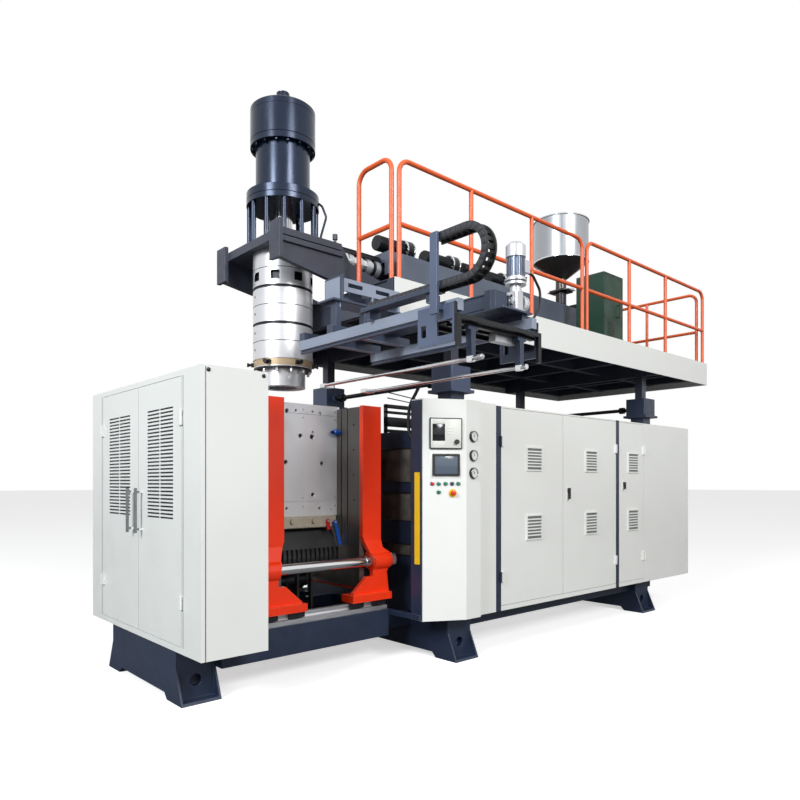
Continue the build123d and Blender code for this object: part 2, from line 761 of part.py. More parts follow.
for index, (latch_x, latch_low, latch_high) in enumerate(latches):
    with BuildPart() as door_latch:
        with BuildSketch(facing_front(bank_y[0] - latch_seat - 1)):
            with Locations((latch_x, (latch_low + latch_high) / 2)):
                Rectangle(latch_width, latch_high - latch_low)
            with Locations((latch_x, latch_high - latch_width / 2)):
                Circle(latch_pin + running_gap, mode=Mode.SUBTRACT)
        extrude(amount=latch_out - latch_seat - 1)
        low_part = ((latch_x - latch_width, latch_x + latch_width), (latch_low - 1, latch_high - 2 * latch_width))
        under = (bank_y[0] - latch_seat - 12, bank_y[0] - latch_seat)
        bar(low_part[0], under, low_part[1], mode=Mode.SUBTRACT)
    keep(door_latch.part, "door_latch_" + str(index + 2))

# Guards of the clamp: the windowed partition behind it, and the light curtain at its mouth
partition_x = (940.0, 975.0)
partition_y = (-800.0, 1000.0)
partition_z = (beam_top, 2030.0)
window_y = ((-674.0, -70.0), (70.0, 674.0))
window_z = ((885.0, 985.0), (1202.0, 1458.0), (1559.0, 1868.0))
curtain_post = ((653.0, 665.0), (-1105.0, -980.0), (395.0, 2250.0))
curtain_strip = ((634.0, 653.0), (-1086.0, -1042.0), (865.0, 1640.0))
sill_x = (625.0, 665.0)
sill_z = (398.0, 440.0)

with BuildPart() as clamp_guard:
    bar(partition_x, partition_y, partition_z)
    for span_y in window_y:
        for span_z in window_z:
            bar((partition_x[0] - 1, partition_x[1] + 1), span_y, span_z, mode=Mode.SUBTRACT)
    bar(*curtain_post)
    bar(*curtain_strip)
    bar(sill_x, (-1105, -rail_beam_y[0]), sill_z)
    bar(sill_x, (rail_beam_y[0], 1105), sill_z)

keep(clamp_guard.part, "clamp_guard")

# Platform on four pillars that rise in the jacks
deck_x = (275.0, reach_right)
deck_half = 1200.0
deck_z = 3183.0
deck_plate = 6.0
fascia_low = 2888.0
fascia_thick = 10.0
joist_width = 70.0
joist_low = 2960.0
pillar_low = jack_foot_z + 25.0
deck_notch = (500.0, 700.0)
deck_joists_x = (deck_x[0] + 55, 760.0, 1190.0, 1885.0, 2580.0, 3275.0, 3970.0, 4660.0) + (
    deck_x[1] - 720,
    deck_x[1] - 100,
)
deck_joists_y = (-1140.0, -400.0, 400.0, 1140.0)
cross_low = 2888.0

with BuildPart() as platform_frame:
    inner = deck_half - fascia_thick
    bar((deck_x[0], deck_x[1] - fascia_thick), both(inner), (deck_z - deck_plate, deck_z))
    for x in deck_joists_x:
        low = cross_low if x in jack_x else joist_low
        bar((x - joist_width / 2, x + joist_width / 2), both(inner), (low, deck_z - deck_plate))
    for y in deck_joists_y:
        x = (deck_x[0], deck_x[1] - fascia_thick)
        bar(x, (y - joist_width / 2, y + joist_width / 2), (joist_low, deck_z - deck_plate))
    for x in jack_x:
        for side in (-1, 1):
            half = pillar_size / 2
            y = side * jack_y
            bar((x - half, x + half), (y - half, y + half), (pillar_low, deck_z - deck_plate))
    notch_x = (deck_x[0] - 1, deck_notch[0])
    notch_y = (deck_notch[1], deck_half + 1)
    bar(notch_x, notch_y, (cross_low - 1, deck_z + 1), mode=Mode.SUBTRACT)

keep(platform_frame.part, "platform_frame")

with BuildPart() as platform_fascia:
    bar(deck_x, both(deck_half), (fascia_low, deck_z))
    inner_x = (deck_x[0] - 1, deck_x[1] - fascia_thick)
    bar(inner_x, both(deck_half - fascia_thick), (fascia_low - 1, deck_z + 1), mode=Mode.SUBTRACT)
    bar(notch_x, notch_y, (fascia_low - 1, deck_z + 1), mode=Mode.SUBTRACT)

keep(platform_fascia.part, "platform_fascia")

# Handrails on the deck
rail_line = deck_half - 30
tube = 20.0
knee_height = 442.0
rail_gap = 523.0
knee_rail = deck_z + knee_height
top_rail = knee_rail + rail_gap
rail_bend = 110.0
gate_x = deck_x[0] + 45
gate_y = (rail_line - 65, rail_line - 483)
end_x = reach_right - 50
end_half = rail_line - 91
end_posts = (-360.0, 360.0)
rail_runs = (
    (-1, deck_x[0] + 69, 2978.0, (1206.0, 2090.0)),
    (-1, 3065.0, reach_right - 76, (3964.0, 4854.0)),
    (1, 2400.0, 2978.0, ()),
    (1, 3065.0, reach_right - 76, (3964.0, 4854.0)),
)


def hoop(plane, start, end, top):
    """Round tube from the deck up, along and down again, with bends of the rail radius."""
    with BuildLine(plane) as path:
        FilletPolyline((start, deck_z), (start, top), (end, top), (end, deck_z), radius=rail_bend)
    with BuildSketch(Plane(origin=path.line @ 0, z_dir=path.line % 0)) as ring:
        Circle(tube)
    sweep(ring.sketch, path=path.line)


with BuildPart() as handrails:
    for side, start, end, posts in rail_runs:
        hoop(facing_front(side * rail_line), start, end, top_rail)
        for x in posts:
            round_bar(level(deck_z), [(x, side * rail_line)], tube, top_rail - deck_z)
        round_bar(facing_right(start), [(side * rail_line, knee_rail)], tube, end - start)
    hoop(facing_right(gate_x), -gate_y[0], -gate_y[1], top_rail + 32)
    round_bar(facing_front(-gate_y[1]), [(gate_x, knee_rail)], tube, gate_y[0] - gate_y[1])
    hoop(facing_right(end_x), -end_half, end_half, top_rail)
    round_bar(facing_front(end_half), [(end_x, knee_rail)], tube, 2 * end_half)
    for y in end_posts:
        round_bar(level(deck_z), [(end_x, y)], tube, top_rail - deck_z)

keep(handrails.part, "handrails")

# Head carriage: two haunched arms on the deck that carry the head in front of the platform
arm_y = (450.0, 500.0)
arm_start = -337.0
arm_shape = [
    (arm_start, 3377),
    (arm_start, 3615),
    (280, 3615),
    (369, 3480),
    (481, 3443),
    (720, 3390),
    (880, deck_z),
    (560, deck_z),
    (140, 3295),
]
arm_rails = (((3508.0, 3550.0), 282.0), ((3560.0, 3615.0), 262.0))
rail_reach = 22.0
cap_foot = 16.0
end_plate_x = (-370.0, arm_start)
end_plate_y = (377.0, 533.0)
end_plate_z = (3368.0, 3680.0)
cross_bar_x = (arm_start, -300.0)
cross_bar_z = (3556.0, 3628.0)
seat_x = (-300.0, 298.0)
seat_z = (3562.0, 3628.0)
rod_bore = 120.0
feed_gap = 2.0
feed_x = (150.0, 300.0)
feed_half = 72.0

with BuildPart() as head_carriage:
    for side in (-1, 1):
        face = -arm_y[0] if side < 0 else arm_y[1]
        profile(facing_front(face), arm_shape, arm_y[1] - arm_y[0])
        for span_z, rail_end_x in arm_rails:
            bar((arm_start, rail_end_x), (side * arm_y[1], side * (arm_y[1] + rail_reach)), span_z)
        bar(end_plate_x, (side * end_plate_y[0], side * end_plate_y[1]), end_plate_z)
        bar((560, 880), (side * (arm_y[0] - 60), side * (arm_y[1] + 60)), (deck_z, deck_z + cap_foot))
        round_bar(level(3615), [(225, side * 475)], 12, 60)
        round_bar(level(3655), [(225, side * 475)], 22, 44)
    bar(cross_bar_x, both(arm_y[0]), cross_bar_z)
    bar(seat_x, both(arm_y[0]), seat_z)
    round_bar(level(seat_z[0] - 1), [(0, 0)], rod_bore, seat_z[1] - seat_z[0] + 2, mode=Mode.SUBTRACT)
    feed_hole = ((feed_x[0] - feed_gap, seat_x[1] + 1), both(feed_half + feed_gap))
    bar(feed_hole[0], feed_hole[1], (seat_z[0] - 1, seat_z[1] + 1), mode=Mode.SUBTRACT)

keep(head_carriage.part, "head_carriage")

# Accumulator cylinder on its tie rods, above the head
ram_z_top = 4720.0
bore_radius = 150.0
piston_thick = 110.0
ram_radius = 85.0
core_rod = 20.0
cylinder_steps = (
    (3991.0, 4036.0, 320.0),
    (4036.0, 4041.0, 315.0),
    (4041.0, 4103.0, 320.0),
    (4103.0, 4511.0, 239.0),
    (4511.0, 4562.0, 287.0),
    (4562.0, 4568.0, 282.0),
    (4568.0, 4808.0, 287.0),
    (4808.0, 4811.0, 285.0),
    (4811.0, 4857.0, 287.0),
    (4865.0, 4960.0, 50.0),
)
drum_chamfer = 8.0
bore_z = (4170.0, 4790.0)
tie_rod_count = 11
tie_rod_circle = 295.0
tie_rod_radius = 20.0
cap_screw_circle = 264.0
cap_screw_count = 16
pipe_radius = 10.0
pipe_bends = (45.0, 60.0, 40.0)
pipe_path = [(305.0, 4060.0), (350.0, 4028.0), (388.0, 3930.0), (340.0, 3760.0), (340.0, seat_z[1])]

with BuildPart() as accumulator_cylinder:
    for low, high, radius in cylinder_steps:
        round_bar(level(low), [(0, 0)], radius, high - low)
    with BuildSketch(level(4857)):
        with Locations((0, 0)):
            Circle(cylinder_steps[8][2])
    extrude(amount=drum_chamfer, taper=45)
    round_bar(level(bore_z[0]), [(0, 0)], bore_radius, bore_z[1] - bore_z[0], mode=Mode.SUBTRACT)
    round_bar(level(3990), [(0, 0)], ram_radius + running_gap, bore_z[0] - 3989, mode=Mode.SUBTRACT)
    round_bar(level(bore_z[1] - 1), [(0, 0)], core_rod + running_gap, 300, mode=Mode.SUBTRACT)
    with BuildSketch(level(seat_z[1])):
        with PolarLocations(tie_rod_circle, tie_rod_count, start_angle=30, angular_range=300, endpoint=True):
            Circle(tie_rod_radius)
    extrude(amount=cylinder_steps[0][0] - seat_z[1])
    with BuildSketch(level(4491)):
        with PolarLocations(cap_screw_circle, cap_screw_count):
            RegularPolygon(13, 6)
    extrude(amount=20)
    with BuildSketch(level(4103)):
        with PolarLocations(cap_screw_circle + 16, cap_screw_count):
            RegularPolygon(11, 6)
    extrude(amount=14)
    # Leak-off pipe from the flange down to the seat
    pipe_plane = Plane(origin=(axis_x, axis_y, 0), x_dir=(0.74, -0.672, 0), z_dir=(-0.672, -0.74, 0))
    with BuildLine(pipe_plane) as pipe:
        FilletPolyline(*pipe_path, radius=pipe_bends)
    with BuildSketch(Plane(origin=pipe.line @ 0, z_dir=pipe.line % 0)) as pipe_section:
        Circle(pipe_radius)
    sweep(pipe_section.sketch, path=pipe.line)

keep(accumulator_cylinder.part, "accumulator_cylinder")

# Ram: piston, hollow rod and the ring plunger that pushes the melt out of the head
plunger_z = (3280.0, 3380.0)

with BuildPart() as ram:
    round_bar(level(ram_z_top - piston_thick), [(0, 0)], bore_radius - running_gap, piston_thick)
    round_bar(level(plunger_z[1]), [(0, 0)], ram_radius, ram_z_top - piston_thick - plunger_z[1])
    round_bar(level(plunger_z[0]), [(0, 0)], bore_radius - running_gap, plunger_z[1] - plunger_z[0])
    through = core_rod + running_gap
    round_bar(level(plunger_z[0] - 1), [(0, 0)], through, ram_z_top - plunger_z[0] + 2, mode=Mode.SUBTRACT)

keep(ram.part, "ram")

# Accumulator head: stacked heated rings round the melt chamber
head_radius = 263.0
head_z = (2626.0, seat_z[0])
head_grooves = ((3410.0, 5.0), (3248.0, 24.0), (3092.0, 5.0), (2931.0, 24.0), (2779.0, 5.0))
groove_depth = 9.0
chamber_z = (2760.0, 3440.0)
outlet_radius = 95.0
window_size = (80.0, 74.0)
window_z = 3341.0
window_angles = (178.0, 223.0, 268.0, 313.0, 133.0, 88.0)
window_depth = 30.0
sensor_angle = 171.5
sensor_z = (3173.0, 3023.0, 2856.0, 2710.0)
sensor_radius = 11.0

with BuildPart() as head_body:
    round_bar(level(head_z[0]), [(0, 0)], head_radius, head_z[1] - head_z[0])
    for z, height in head_grooves:
        with BuildSketch(level(z - height / 2)):
            with Locations((0, 0)):
                Circle(head_radius + 1)
                Circle(head_radius - groove_depth, mode=Mode.SUBTRACT)
        extrude(amount=height, mode=Mode.SUBTRACT)
    for angle in window_angles:
        outward = Vector(1, 0, 0).rotate(Axis.Z, angle)
        side_plane = Plane(origin=Vector(axis_x, axis_y, 0) + outward * (head_radius - window_depth), z_dir=outward)
        with BuildSketch(Plane(side_plane.origin, x_dir=outward.rotate(Axis.Z, 90), z_dir=outward)):
            with Locations((0, window_z)):
                Rectangle(*window_size)
        extrude(amount=2 * window_depth, mode=Mode.SUBTRACT)
    outward = Vector(1, 0, 0).rotate(Axis.Z, sensor_angle)
    sensor_origin = Vector(axis_x, axis_y, 0) + outward * (head_radius - window_depth)
    sensor_plane = Plane(sensor_origin, x_dir=outward.rotate(Axis.Z, 90), z_dir=outward)
    round_bar(sensor_plane, [(0, z) for z in sensor_z], sensor_radius, 2 * window_depth, mode=Mode.SUBTRACT)
    round_bar(level(chamber_z[0]), [(0, 0)], bore_radius, chamber_z[1] - chamber_z[0], mode=Mode.SUBTRACT)
    round_bar(level(head_z[0] - 1), [(0, 0)], outlet_radius, chamber_z[0] - head_z[0] + 2, mode=Mode.SUBTRACT)
    round_bar(level(chamber_z[1] - 1), [(0, 0)], ram_radius + running_gap, 200, mode=Mode.SUBTRACT)

keep(head_body.part, "head_body")

# Die under the head, with its adjusting ring and bolts
ring_z = (2546.0, head_z[0])
ring_radius = 256.0
die_radius = 198.0
die_z = (2398.0, 2546.0)
die_mouth = 130.0
die_taper = 70.0
bolt_circle = 236.0
bolt_count = 12
bolt_drop = 30.0
adjuster_z = 2596.0
adjuster_angles = (28.0, 88.0, 148.0, 208.0, 268.0, 328.0)
adjuster_block = (56.0, 30.0)
adjuster_screw = 12.0
adjuster_head = 18.0

with BuildPart() as die:
    round_bar(level(ring_z[0]), [(0, 0)], ring_radius, ring_z[1] - ring_z[0])
    round_bar(level(die_z[0]), [(0, 0)], die_radius, ring_z[0] - die_z[0])
    with BuildSketch(level(ring_z[0] - bolt_drop)):
        with PolarLocations(bolt_circle, bolt_count, start_angle=15):
            RegularPolygon(13, 6)
    extrude(amount=bolt_drop)
    for angle in adjuster_angles:
        outward = Vector(1, 0, 0).rotate(Axis.Z, angle)
        origin = Vector(axis_x, axis_y, 0) + outward * (ring_radius - 10)
        adjuster_plane = Plane(origin, x_dir=outward.rotate(Axis.Z, 90), z_dir=outward)
        with BuildSketch(adjuster_plane):
            with Locations((0, adjuster_z)):
                Rectangle(*adjuster_block)
        extrude(amount=32)
        round_bar(adjuster_plane, [(0, adjuster_z)], adjuster_screw, 68)
        round_bar(adjuster_plane.offset(52), [(0, adjuster_z)], adjuster_head, 16)
    round_bar(level(die_z[0] - 1), [(0, 0)], outlet_radius, ring_z[1] - die_z[0] + 2, mode=Mode.SUBTRACT)
    with BuildSketch(level(die_z[0])):
        with Locations((0, 0)):
            Circle(die_mouth)
    with BuildSketch(level(die_z[0] + die_taper)):
        with Locations((0, 0)):
            Circle(outlet_radius)
    loft(mode=Mode.SUBTRACT)

keep(die.part, "die")

# Mandrel: core, cone in the die's mouth, and the rod that its nut hangs it from
core_radius = 60.0
core_top = 3000.0
cone_radius = 118.0
nut_z = (4994.0, 5034.0)
nut_radius = 58.0
nut_slots = 4
mandrel_core_low = die_z[0] + die_taper

with BuildPart() as mandrel:
    round_bar(level(mandrel_core_low), [(0, 0)], core_radius, core_top - mandrel_core_low)
    round_bar(level(core_top), [(0, 0)], core_rod, nut_z[0] - core_top)
    round_bar(level(nut_z[0]), [(0, 0)], nut_radius, nut_z[1] - nut_z[0])
    with BuildSketch(level(nut_z[0])):
        with PolarLocations(nut_radius, nut_slots, start_angle=37):
            Rectangle(16, 14)
    extrude(amount=nut_z[1] - nut_z[0], mode=Mode.SUBTRACT)
    with BuildSketch(level(die_z[0])):
        with Locations((0, 0)):
            Circle(cone_radius)
    with BuildSketch(level(mandrel_core_low)):
        with Locations((0, 0)):
            Circle(core_radius)
    loft()

keep(mandrel.part, "mandrel")

# Extruder: barrel on its beams, feed block into the head, screw, drive and hopper
barrel_z = 3690.0
barrel_radius = 65.0
barrel_end = 4420.0
screw_radius = 45.0
cover_x = (1130.0, 3300.0)
cover_half = 150.0
cover_z = (3758.0, 3863.0)
beam_x = (1180.0, 4420.0)
beam_y = (220.0, 300.0)
beam_z = (3560.0, 3800.0)
beam_legs_x = (1240.0, 2700.0, 4200.0)
beam_leg = 120.0
throat_x = 4311.0
throat_half = 110.0
throat_radius = 70.0
gate_z = (4090.0, 4096.0)
flange_thick = 10.0

with BuildPart() as barrel:
    round_bar(facing_right(feed_x[1]), [(0, barrel_z)], barrel_radius, barrel_end - feed_x[1])
    bar(feed_x, both(feed_half), (head_z[1], barrel_z + feed_half + 13))
    bar(
        (feed_x[1], feed_x[1] + 60),
        both(feed_half + 10),
        (barrel_z - feed_half - 10, barrel_z + feed_half + 10),
    )
    round_bar(facing_right(480.0), [(0, barrel_z)], barrel_radius + 7, 650)
    for x in (620.0, 3420.0):
        round_bar(facing_right(x), [(0, barrel_z)], barrel_radius + 22, 60)
    bar((throat_x - throat_half, barrel_end), both(throat_half), (3580, 3850))
    round_bar(level(3850), [(throat_x, 0)], throat_radius, gate_z[0] - slide_gap - 3850)
    flange_z = (gate_z[0] - slide_gap - flange_thick, gate_z[0] - slide_gap)
    bar((throat_x - throat_half, throat_x + throat_half), both(throat_half), flange_z)
    round_bar(
        facing_right(feed_x[0] + 60),
        [(0, barrel_z)],
        screw_radius + running_gap,
        5000,
        mode=Mode.SUBTRACT,
    )
    round_bar(level(barrel_z), [(throat_x, 0)], throat_radius - 10, 500, mode=Mode.SUBTRACT)

keep(barrel.part, "barrel")

with BuildPart() as screw:
    round_bar(facing_right(feed_x[1] + 10), [(0, barrel_z)], screw_radius, 3880)
    round_bar(facing_right(4190), [(0, barrel_z)], 34, 200)
    round_bar(facing_right(4390), [(0, barrel_z)], screw_radius, barrel_end + 100 - 4390)

keep(screw.part, "screw")

with BuildPart() as extruder_beams:
    for side in (-1, 1):
        bar(beam_x, (side * beam_y[0], side * beam_y[1]), beam_z)
        for x in beam_legs_x:
            bar((x, x + beam_leg), (side * beam_y[0], side * beam_y[1]), (deck_z, beam_z[0]))
    for x in (1240.0, 2700.0):
        bar((x, x + beam_leg), both(beam_y[0]), (beam_z[0], barrel_z - barrel_radius - 20))
    bar((throat_x - throat_half, throat_x + 10), both(beam_y[0]), (barrel_z - 210, barrel_z - throat_half))
    for side in (-1, 1):
        bar(cover_x, (side * 85, side * cover_half), (barrel_z - 55, cover_z[0]))
    bar(cover_x, both(cover_half), cover_z)
    bar(
        (cover_x[0] + 10, cover_x[1] - 10),
        both(cover_half - 10),
        (cover_z[0] - 1, cover_z[1] - 10),
        mode=Mode.SUBTRACT,
    )
    for x in (1240.0, 2700.0):
        bar((x, x + 60), (85, beam_y[0]), (barrel_z - 55, barrel_z - 15))
        bar((x, x + 60), (-beam_y[0], -85), (barrel_z - 55, barrel_z - 15))

keep(extruder_beams.part, "extruder_beams")

# Cooling blowers on the cover, one for each zone
blower_x = ((1089.0, 1543.0), (1749.0, 2233.0), (2349.0, 2650.0), (2820.0, 3135.0))
blower_z = 3970.0
scroll_radius = 105.0
scroll_width = 110.0
blower_motor = 72.0

with BuildPart() as blowers:
    for start, end in blower_x:
        round_bar(facing_right(end - scroll_width), [(0, blower_z)], scroll_radius, scroll_width)
        round_bar(facing_right(start), [(0, blower_z)], blower_motor, end - scroll_width - start)
        bar((end - scroll_width, end), both(70), (cover_z[1], blower_z))

keep(blowers.part, "blowers")

# Gearbox and motor that turn the screw
gearbox_x = (barrel_end, 4980.0)
gearbox_half = 260.0
gearbox_z = (deck_z, 3920.0)
motor_z = 3520.0
motor_radius = 190.0
motor_end = 5640.0

with BuildPart() as extruder_drive:
    bar(gearbox_x, both(gearbox_half), gearbox_z)
    round_bar(facing_right(gearbox_x[1]), [(0, motor_z)], motor_radius, motor_end - gearbox_x[1])
    for x in (gearbox_x[1] + 80, motor_end - 180):
        bar((x, x + 100), both(150), (deck_z, motor_z))
    round_bar(
        facing_right(gearbox_x[0] - 1),
        [(0, barrel_z)],
        screw_radius + running_gap,
        101,
        mode=Mode.SUBTRACT,
    )

keep(extruder_drive.part, "extruder_drive")

# Hopper on the throat, with a slide gate under it
hopper_radius = 355.0
hopper_wall = 4.0
hopper_cone_z = (4250.0, 4470.0)
hopper_top = 5012.0
gate_half = 90.0
gate_length = 330.0

with BuildPart() as hopper:
    flange_low = gate_z[1] + slide_gap
    bar(
        (throat_x - throat_half, throat_x + throat_half),
        both(throat_half),
        (flange_low, flange_low + flange_thick),
    )
    for side in (-1, 1):
        x = (throat_x + side * (gate_half + slide_gap), throat_x + side * throat_half)
        bar(x, both(throat_half), (gate_z[0] - slide_gap, flange_low))
    round_bar(level(flange_low), [(throat_x, 0)], throat_radius, hopper_cone_z[0] - flange_low)
    with BuildSketch(level(hopper_cone_z[0])):
        with Locations((throat_x, 0)):
            Circle(throat_radius)
    with BuildSketch(level(hopper_cone_z[1])):
        with Locations((throat_x, 0)):
            Circle(hopper_radius)
    loft()
    round_bar(level(hopper_cone_z[1]), [(throat_x, 0)], hopper_radius, hopper_top - hopper_cone_z[1])
    inner = throat_radius - 10
    round_bar(
        level(flange_low - 1),
        [(throat_x, 0)],
        inner,
        hopper_cone_z[0] - flange_low + 1,
        mode=Mode.SUBTRACT,
    )
    with BuildSketch(level(hopper_cone_z[0])):
        with Locations((throat_x, 0)):
            Circle(inner)
    with BuildSketch(level(hopper_cone_z[1])):
        with Locations((throat_x, 0)):
            Circle(hopper_radius - hopper_wall)
    loft(mode=Mode.SUBTRACT)
    hollow = hopper_top - hopper_cone_z[1]
    round_bar(
        level(hopper_cone_z[1]),
        [(throat_x, 0)],
        hopper_radius - hopper_wall,
        hollow,
        mode=Mode.SUBTRACT,
    )

keep(hopper.part, "hopper")

with BuildPart() as slide_gate:
    front = -throat_half - 60
    bar((throat_x - gate_half, throat_x + gate_half), (front, front + gate_length), gate_z)
    round_bar(
        level(gate_z[0]),
        [(throat_x, 60)],
        throat_radius - 12,
        gate_z[1] - gate_z[0],
        mode=Mode.SUBTRACT,
    )
    bar((throat_x - 40, throat_x + 40), (front - 12, front), (gate_z[0] - 10, gate_z[1] + 10))

keep(slide_gate.part, "slide_gate")

# Drive cabinet on the deck, on the operator's side
drive_x = (3870.0, 4300.0)
drive_y = (300 - deck_half, 680 - deck_half)
drive_z = (deck_z, 4066.0)
drive_handle = ((4180.0, 4196.0), (3560.0, 3720.0))

with BuildPart() as drive_cabinet:
    bar(drive_x, drive_y, drive_z)
    hollow = ((drive_x[0] + sheet, drive_x[1] - sheet), (drive_y[0] + sheet, drive_y[1] - sheet))
    bar(hollow[0], hollow[1], (drive_z[0] + sheet, drive_z[1] - sheet), mode=Mode.SUBTRACT)
    bar(drive_handle[0], (drive_y[0] - 34, drive_y[0] - 22), drive_handle[1])
    for z in (drive_handle[1][0], drive_handle[1][1] - 14):
        bar(drive_handle[0], (drive_y[0] - 34, drive_y[0]), (z, z + 14))

keep(drive_cabinet.part, "drive_cabinet")

# Take-out unit hung from the platform's front corner. Its beams carry a carriage in and out.
bracket_x = (-300.0, 275.0)
bracket_y = (-1253.0, -1078.0)
bracket_z = (2950.0, 3045.0)
bracket_wall = 12.0
bracket_slots = ((-235.0, -95.0), (30.0, 170.0))
bracket_slot_z = (2985.0, 3015.0)
bracket_cap_x = (-312.0, -300.0)
bracket_cap_y = (-1288.0, -1070.0)
bracket_cap_z = (2866.0, 3056.0)
bracket_foot_x = (-385.0, 275.0)
bracket_foot_y = (-1275.0, -1078.0)
bracket_foot_z = (2866.0, 2880.0)
slide_beam_x = (330.0, 380.0)
slide_beam_y = (-2477.0, -829.0)
slide_beam_z = (2560.0, 2630.0)
cross_beam_y = (-1253.0, -1190.0)
cross_beam_z = (2630.0, 2690.0)
hanger_x = ((-345.0, -300.0), (-80.0, -35.0), (215.0, 275.0))
runner_z = (2535.0, 2548.0)
runner_x = (343.0, 367.0)
runner_neck = 5.0
trough_x = (-441.0, -346.0)
trough_y = (-2345.0, -1655.0)
trough_z = (2686.0, 2712.0)
trough_wall = 3.0
axis_beam_x = (110.0, 250.0)
axis_beam_y = (-2290.0, -885.0)
axis_beam_z = (2690.0, 2790.0)
axis_groove_z = (2752.0, 2780.0)
axis_groove_depth = 8.0
drive_head_x = (96.0, 258.0)
drive_head_y = (-2345.0, -2250.0)
drive_head_z = (2680.0, 2802.0)
drive_head_chamfer = 22.0
drive_plate = ((96.0, 400.0), (-2430.0, -2060.0), (2668.0, 2680.0))

with BuildPart() as takeout_frame:
    bar(bracket_x, bracket_y, bracket_z)
    for span in bracket_slots:
        bar(span, (bracket_y[0] - 1, bracket_y[1] + 1), bracket_slot_z, mode=Mode.SUBTRACT)
    inside_x = (bracket_x[0] + bracket_wall, bracket_x[1] - bracket_wall)
    inside_y = (bracket_y[0] + bracket_wall, bracket_y[1] - bracket_wall)
    bar(inside_x, inside_y, (bracket_z[0] - 1, bracket_z[1] - bracket_wall), mode=Mode.SUBTRACT)
    bar(bracket_cap_x, bracket_cap_y, bracket_cap_z)
    bar(bracket_foot_x, bracket_foot_y, bracket_foot_z)
    bar(bracket_x, (bracket_y[1] - bracket_wall, bracket_y[1]), (bracket_foot_z[1], bracket_z[0]))
    for x in (bracket_x[0], -bracket_wall / 2, bracket_x[1] - bracket_wall):
        bar((x, x + bracket_wall), bracket_y, (bracket_foot_z[1], bracket_z[0]))
    for span in hanger_x:
        bar(span, cross_beam_y, (slide_beam_z[1], bracket_foot_z[0]))
    for y in (cross_beam_y[0], slide_beam_y[1] - 70):
        bar(both(slide_beam_x[1]), (y, y + 63), cross_beam_z)
    for side in (-1, 1):
        beam = (side * slide_beam_x[0], side * slide_beam_x[1])
        bar(beam, slide_beam_y, slide_beam_z)
        runner_y = (slide_beam_y[0] + 20, slide_beam_y[1])
        bar((side * runner_x[0], side * runner_x[1]), runner_y, runner_z)
        neck = (side * (runner_x[0] + runner_neck), side * (runner_x[1] - runner_neck))
        bar(neck, runner_y, (runner_z[1], slide_beam_z[0]))
    bar(trough_x, trough_y, trough_z)
    channel = (trough_x[0] + trough_wall, trough_x[1] - trough_wall)
    bar(
        channel,
        (trough_y[0] - 1, trough_y[1] + 1),
        (trough_z[0] + trough_wall, trough_z[1] + 1),
        mode=Mode.SUBTRACT,
    )
    for y in (trough_y[0] + 60, trough_y[1] - 70):
        bar((trough_x[0] + 20, -slide_beam_x[0]), (y, y + 30), (slide_beam_z[1], trough_z[0]))
    # Belt axis on the cross beams, with its drive head at the front
    bar(axis_beam_x, axis_beam_y, axis_beam_z)
    groove = (axis_beam_x[0] - 1, axis_beam_x[0] + axis_groove_depth)
    bar(groove, (axis_beam_y[0] - 1, axis_beam_y[1] + 1), axis_groove_z, mode=Mode.SUBTRACT)
    with BuildSketch(level(drive_head_z[0])):
        with Locations((sum(drive_head_x) / 2, sum(drive_head_y) / 2)):
            Rectangle(drive_head_x[1] - drive_head_x[0], drive_head_y[1] - drive_head_y[0])
        chamfer(vertices(), drive_head_chamfer)
    extrude(amount=drive_head_z[1] - drive_head_z[0])
    bar(*drive_plate)
    bar(slide_beam_x, (drive_plate[1][0] + 30, drive_plate[1][1] - 30), (slide_beam_z[1], drive_plate[2][0]))

keep(takeout_frame.part, "takeout_frame")

# Carriage under the beams: side plates, top plate with a front rim, jaw rail and jaw cylinder
plate_x = (386.0, 402.0)
plate_y = (-2477.0, -2164.0)
plate_z = (2374.0, 2607.0)
plate_windows = (((-2453.0, -2326.0), (2421.0, 2511.0)), ((-2237.0, -2193.0), (2430.0, 2504.0)))
hook_length = 60.0
hook_width = 12.0
hook_lap = 8.0
rim_y = (-2500.0, -2470.0)
rim_z = (2505.0, 2533.0)
rim_leg_x = (372.0, 402.0)
rim_leg_low = 2338.0
roof_y = (-2470.0, -2180.0)
roof_z = (2515.0, 2527.0)
jaw_rail_y = (-2458.0, -2422.0)
jaw_rail_z = (2490.0, 2515.0)
jaw_cylinder = ((40.0, 250.0), (-2413.0, -2357.0), (2447.0, 2503.0))
chain_post_x = (-462.0, -443.0)
chain_post_y = (-2386.0, -2328.0)
chain_post_z = (2542.0, 3022.0)

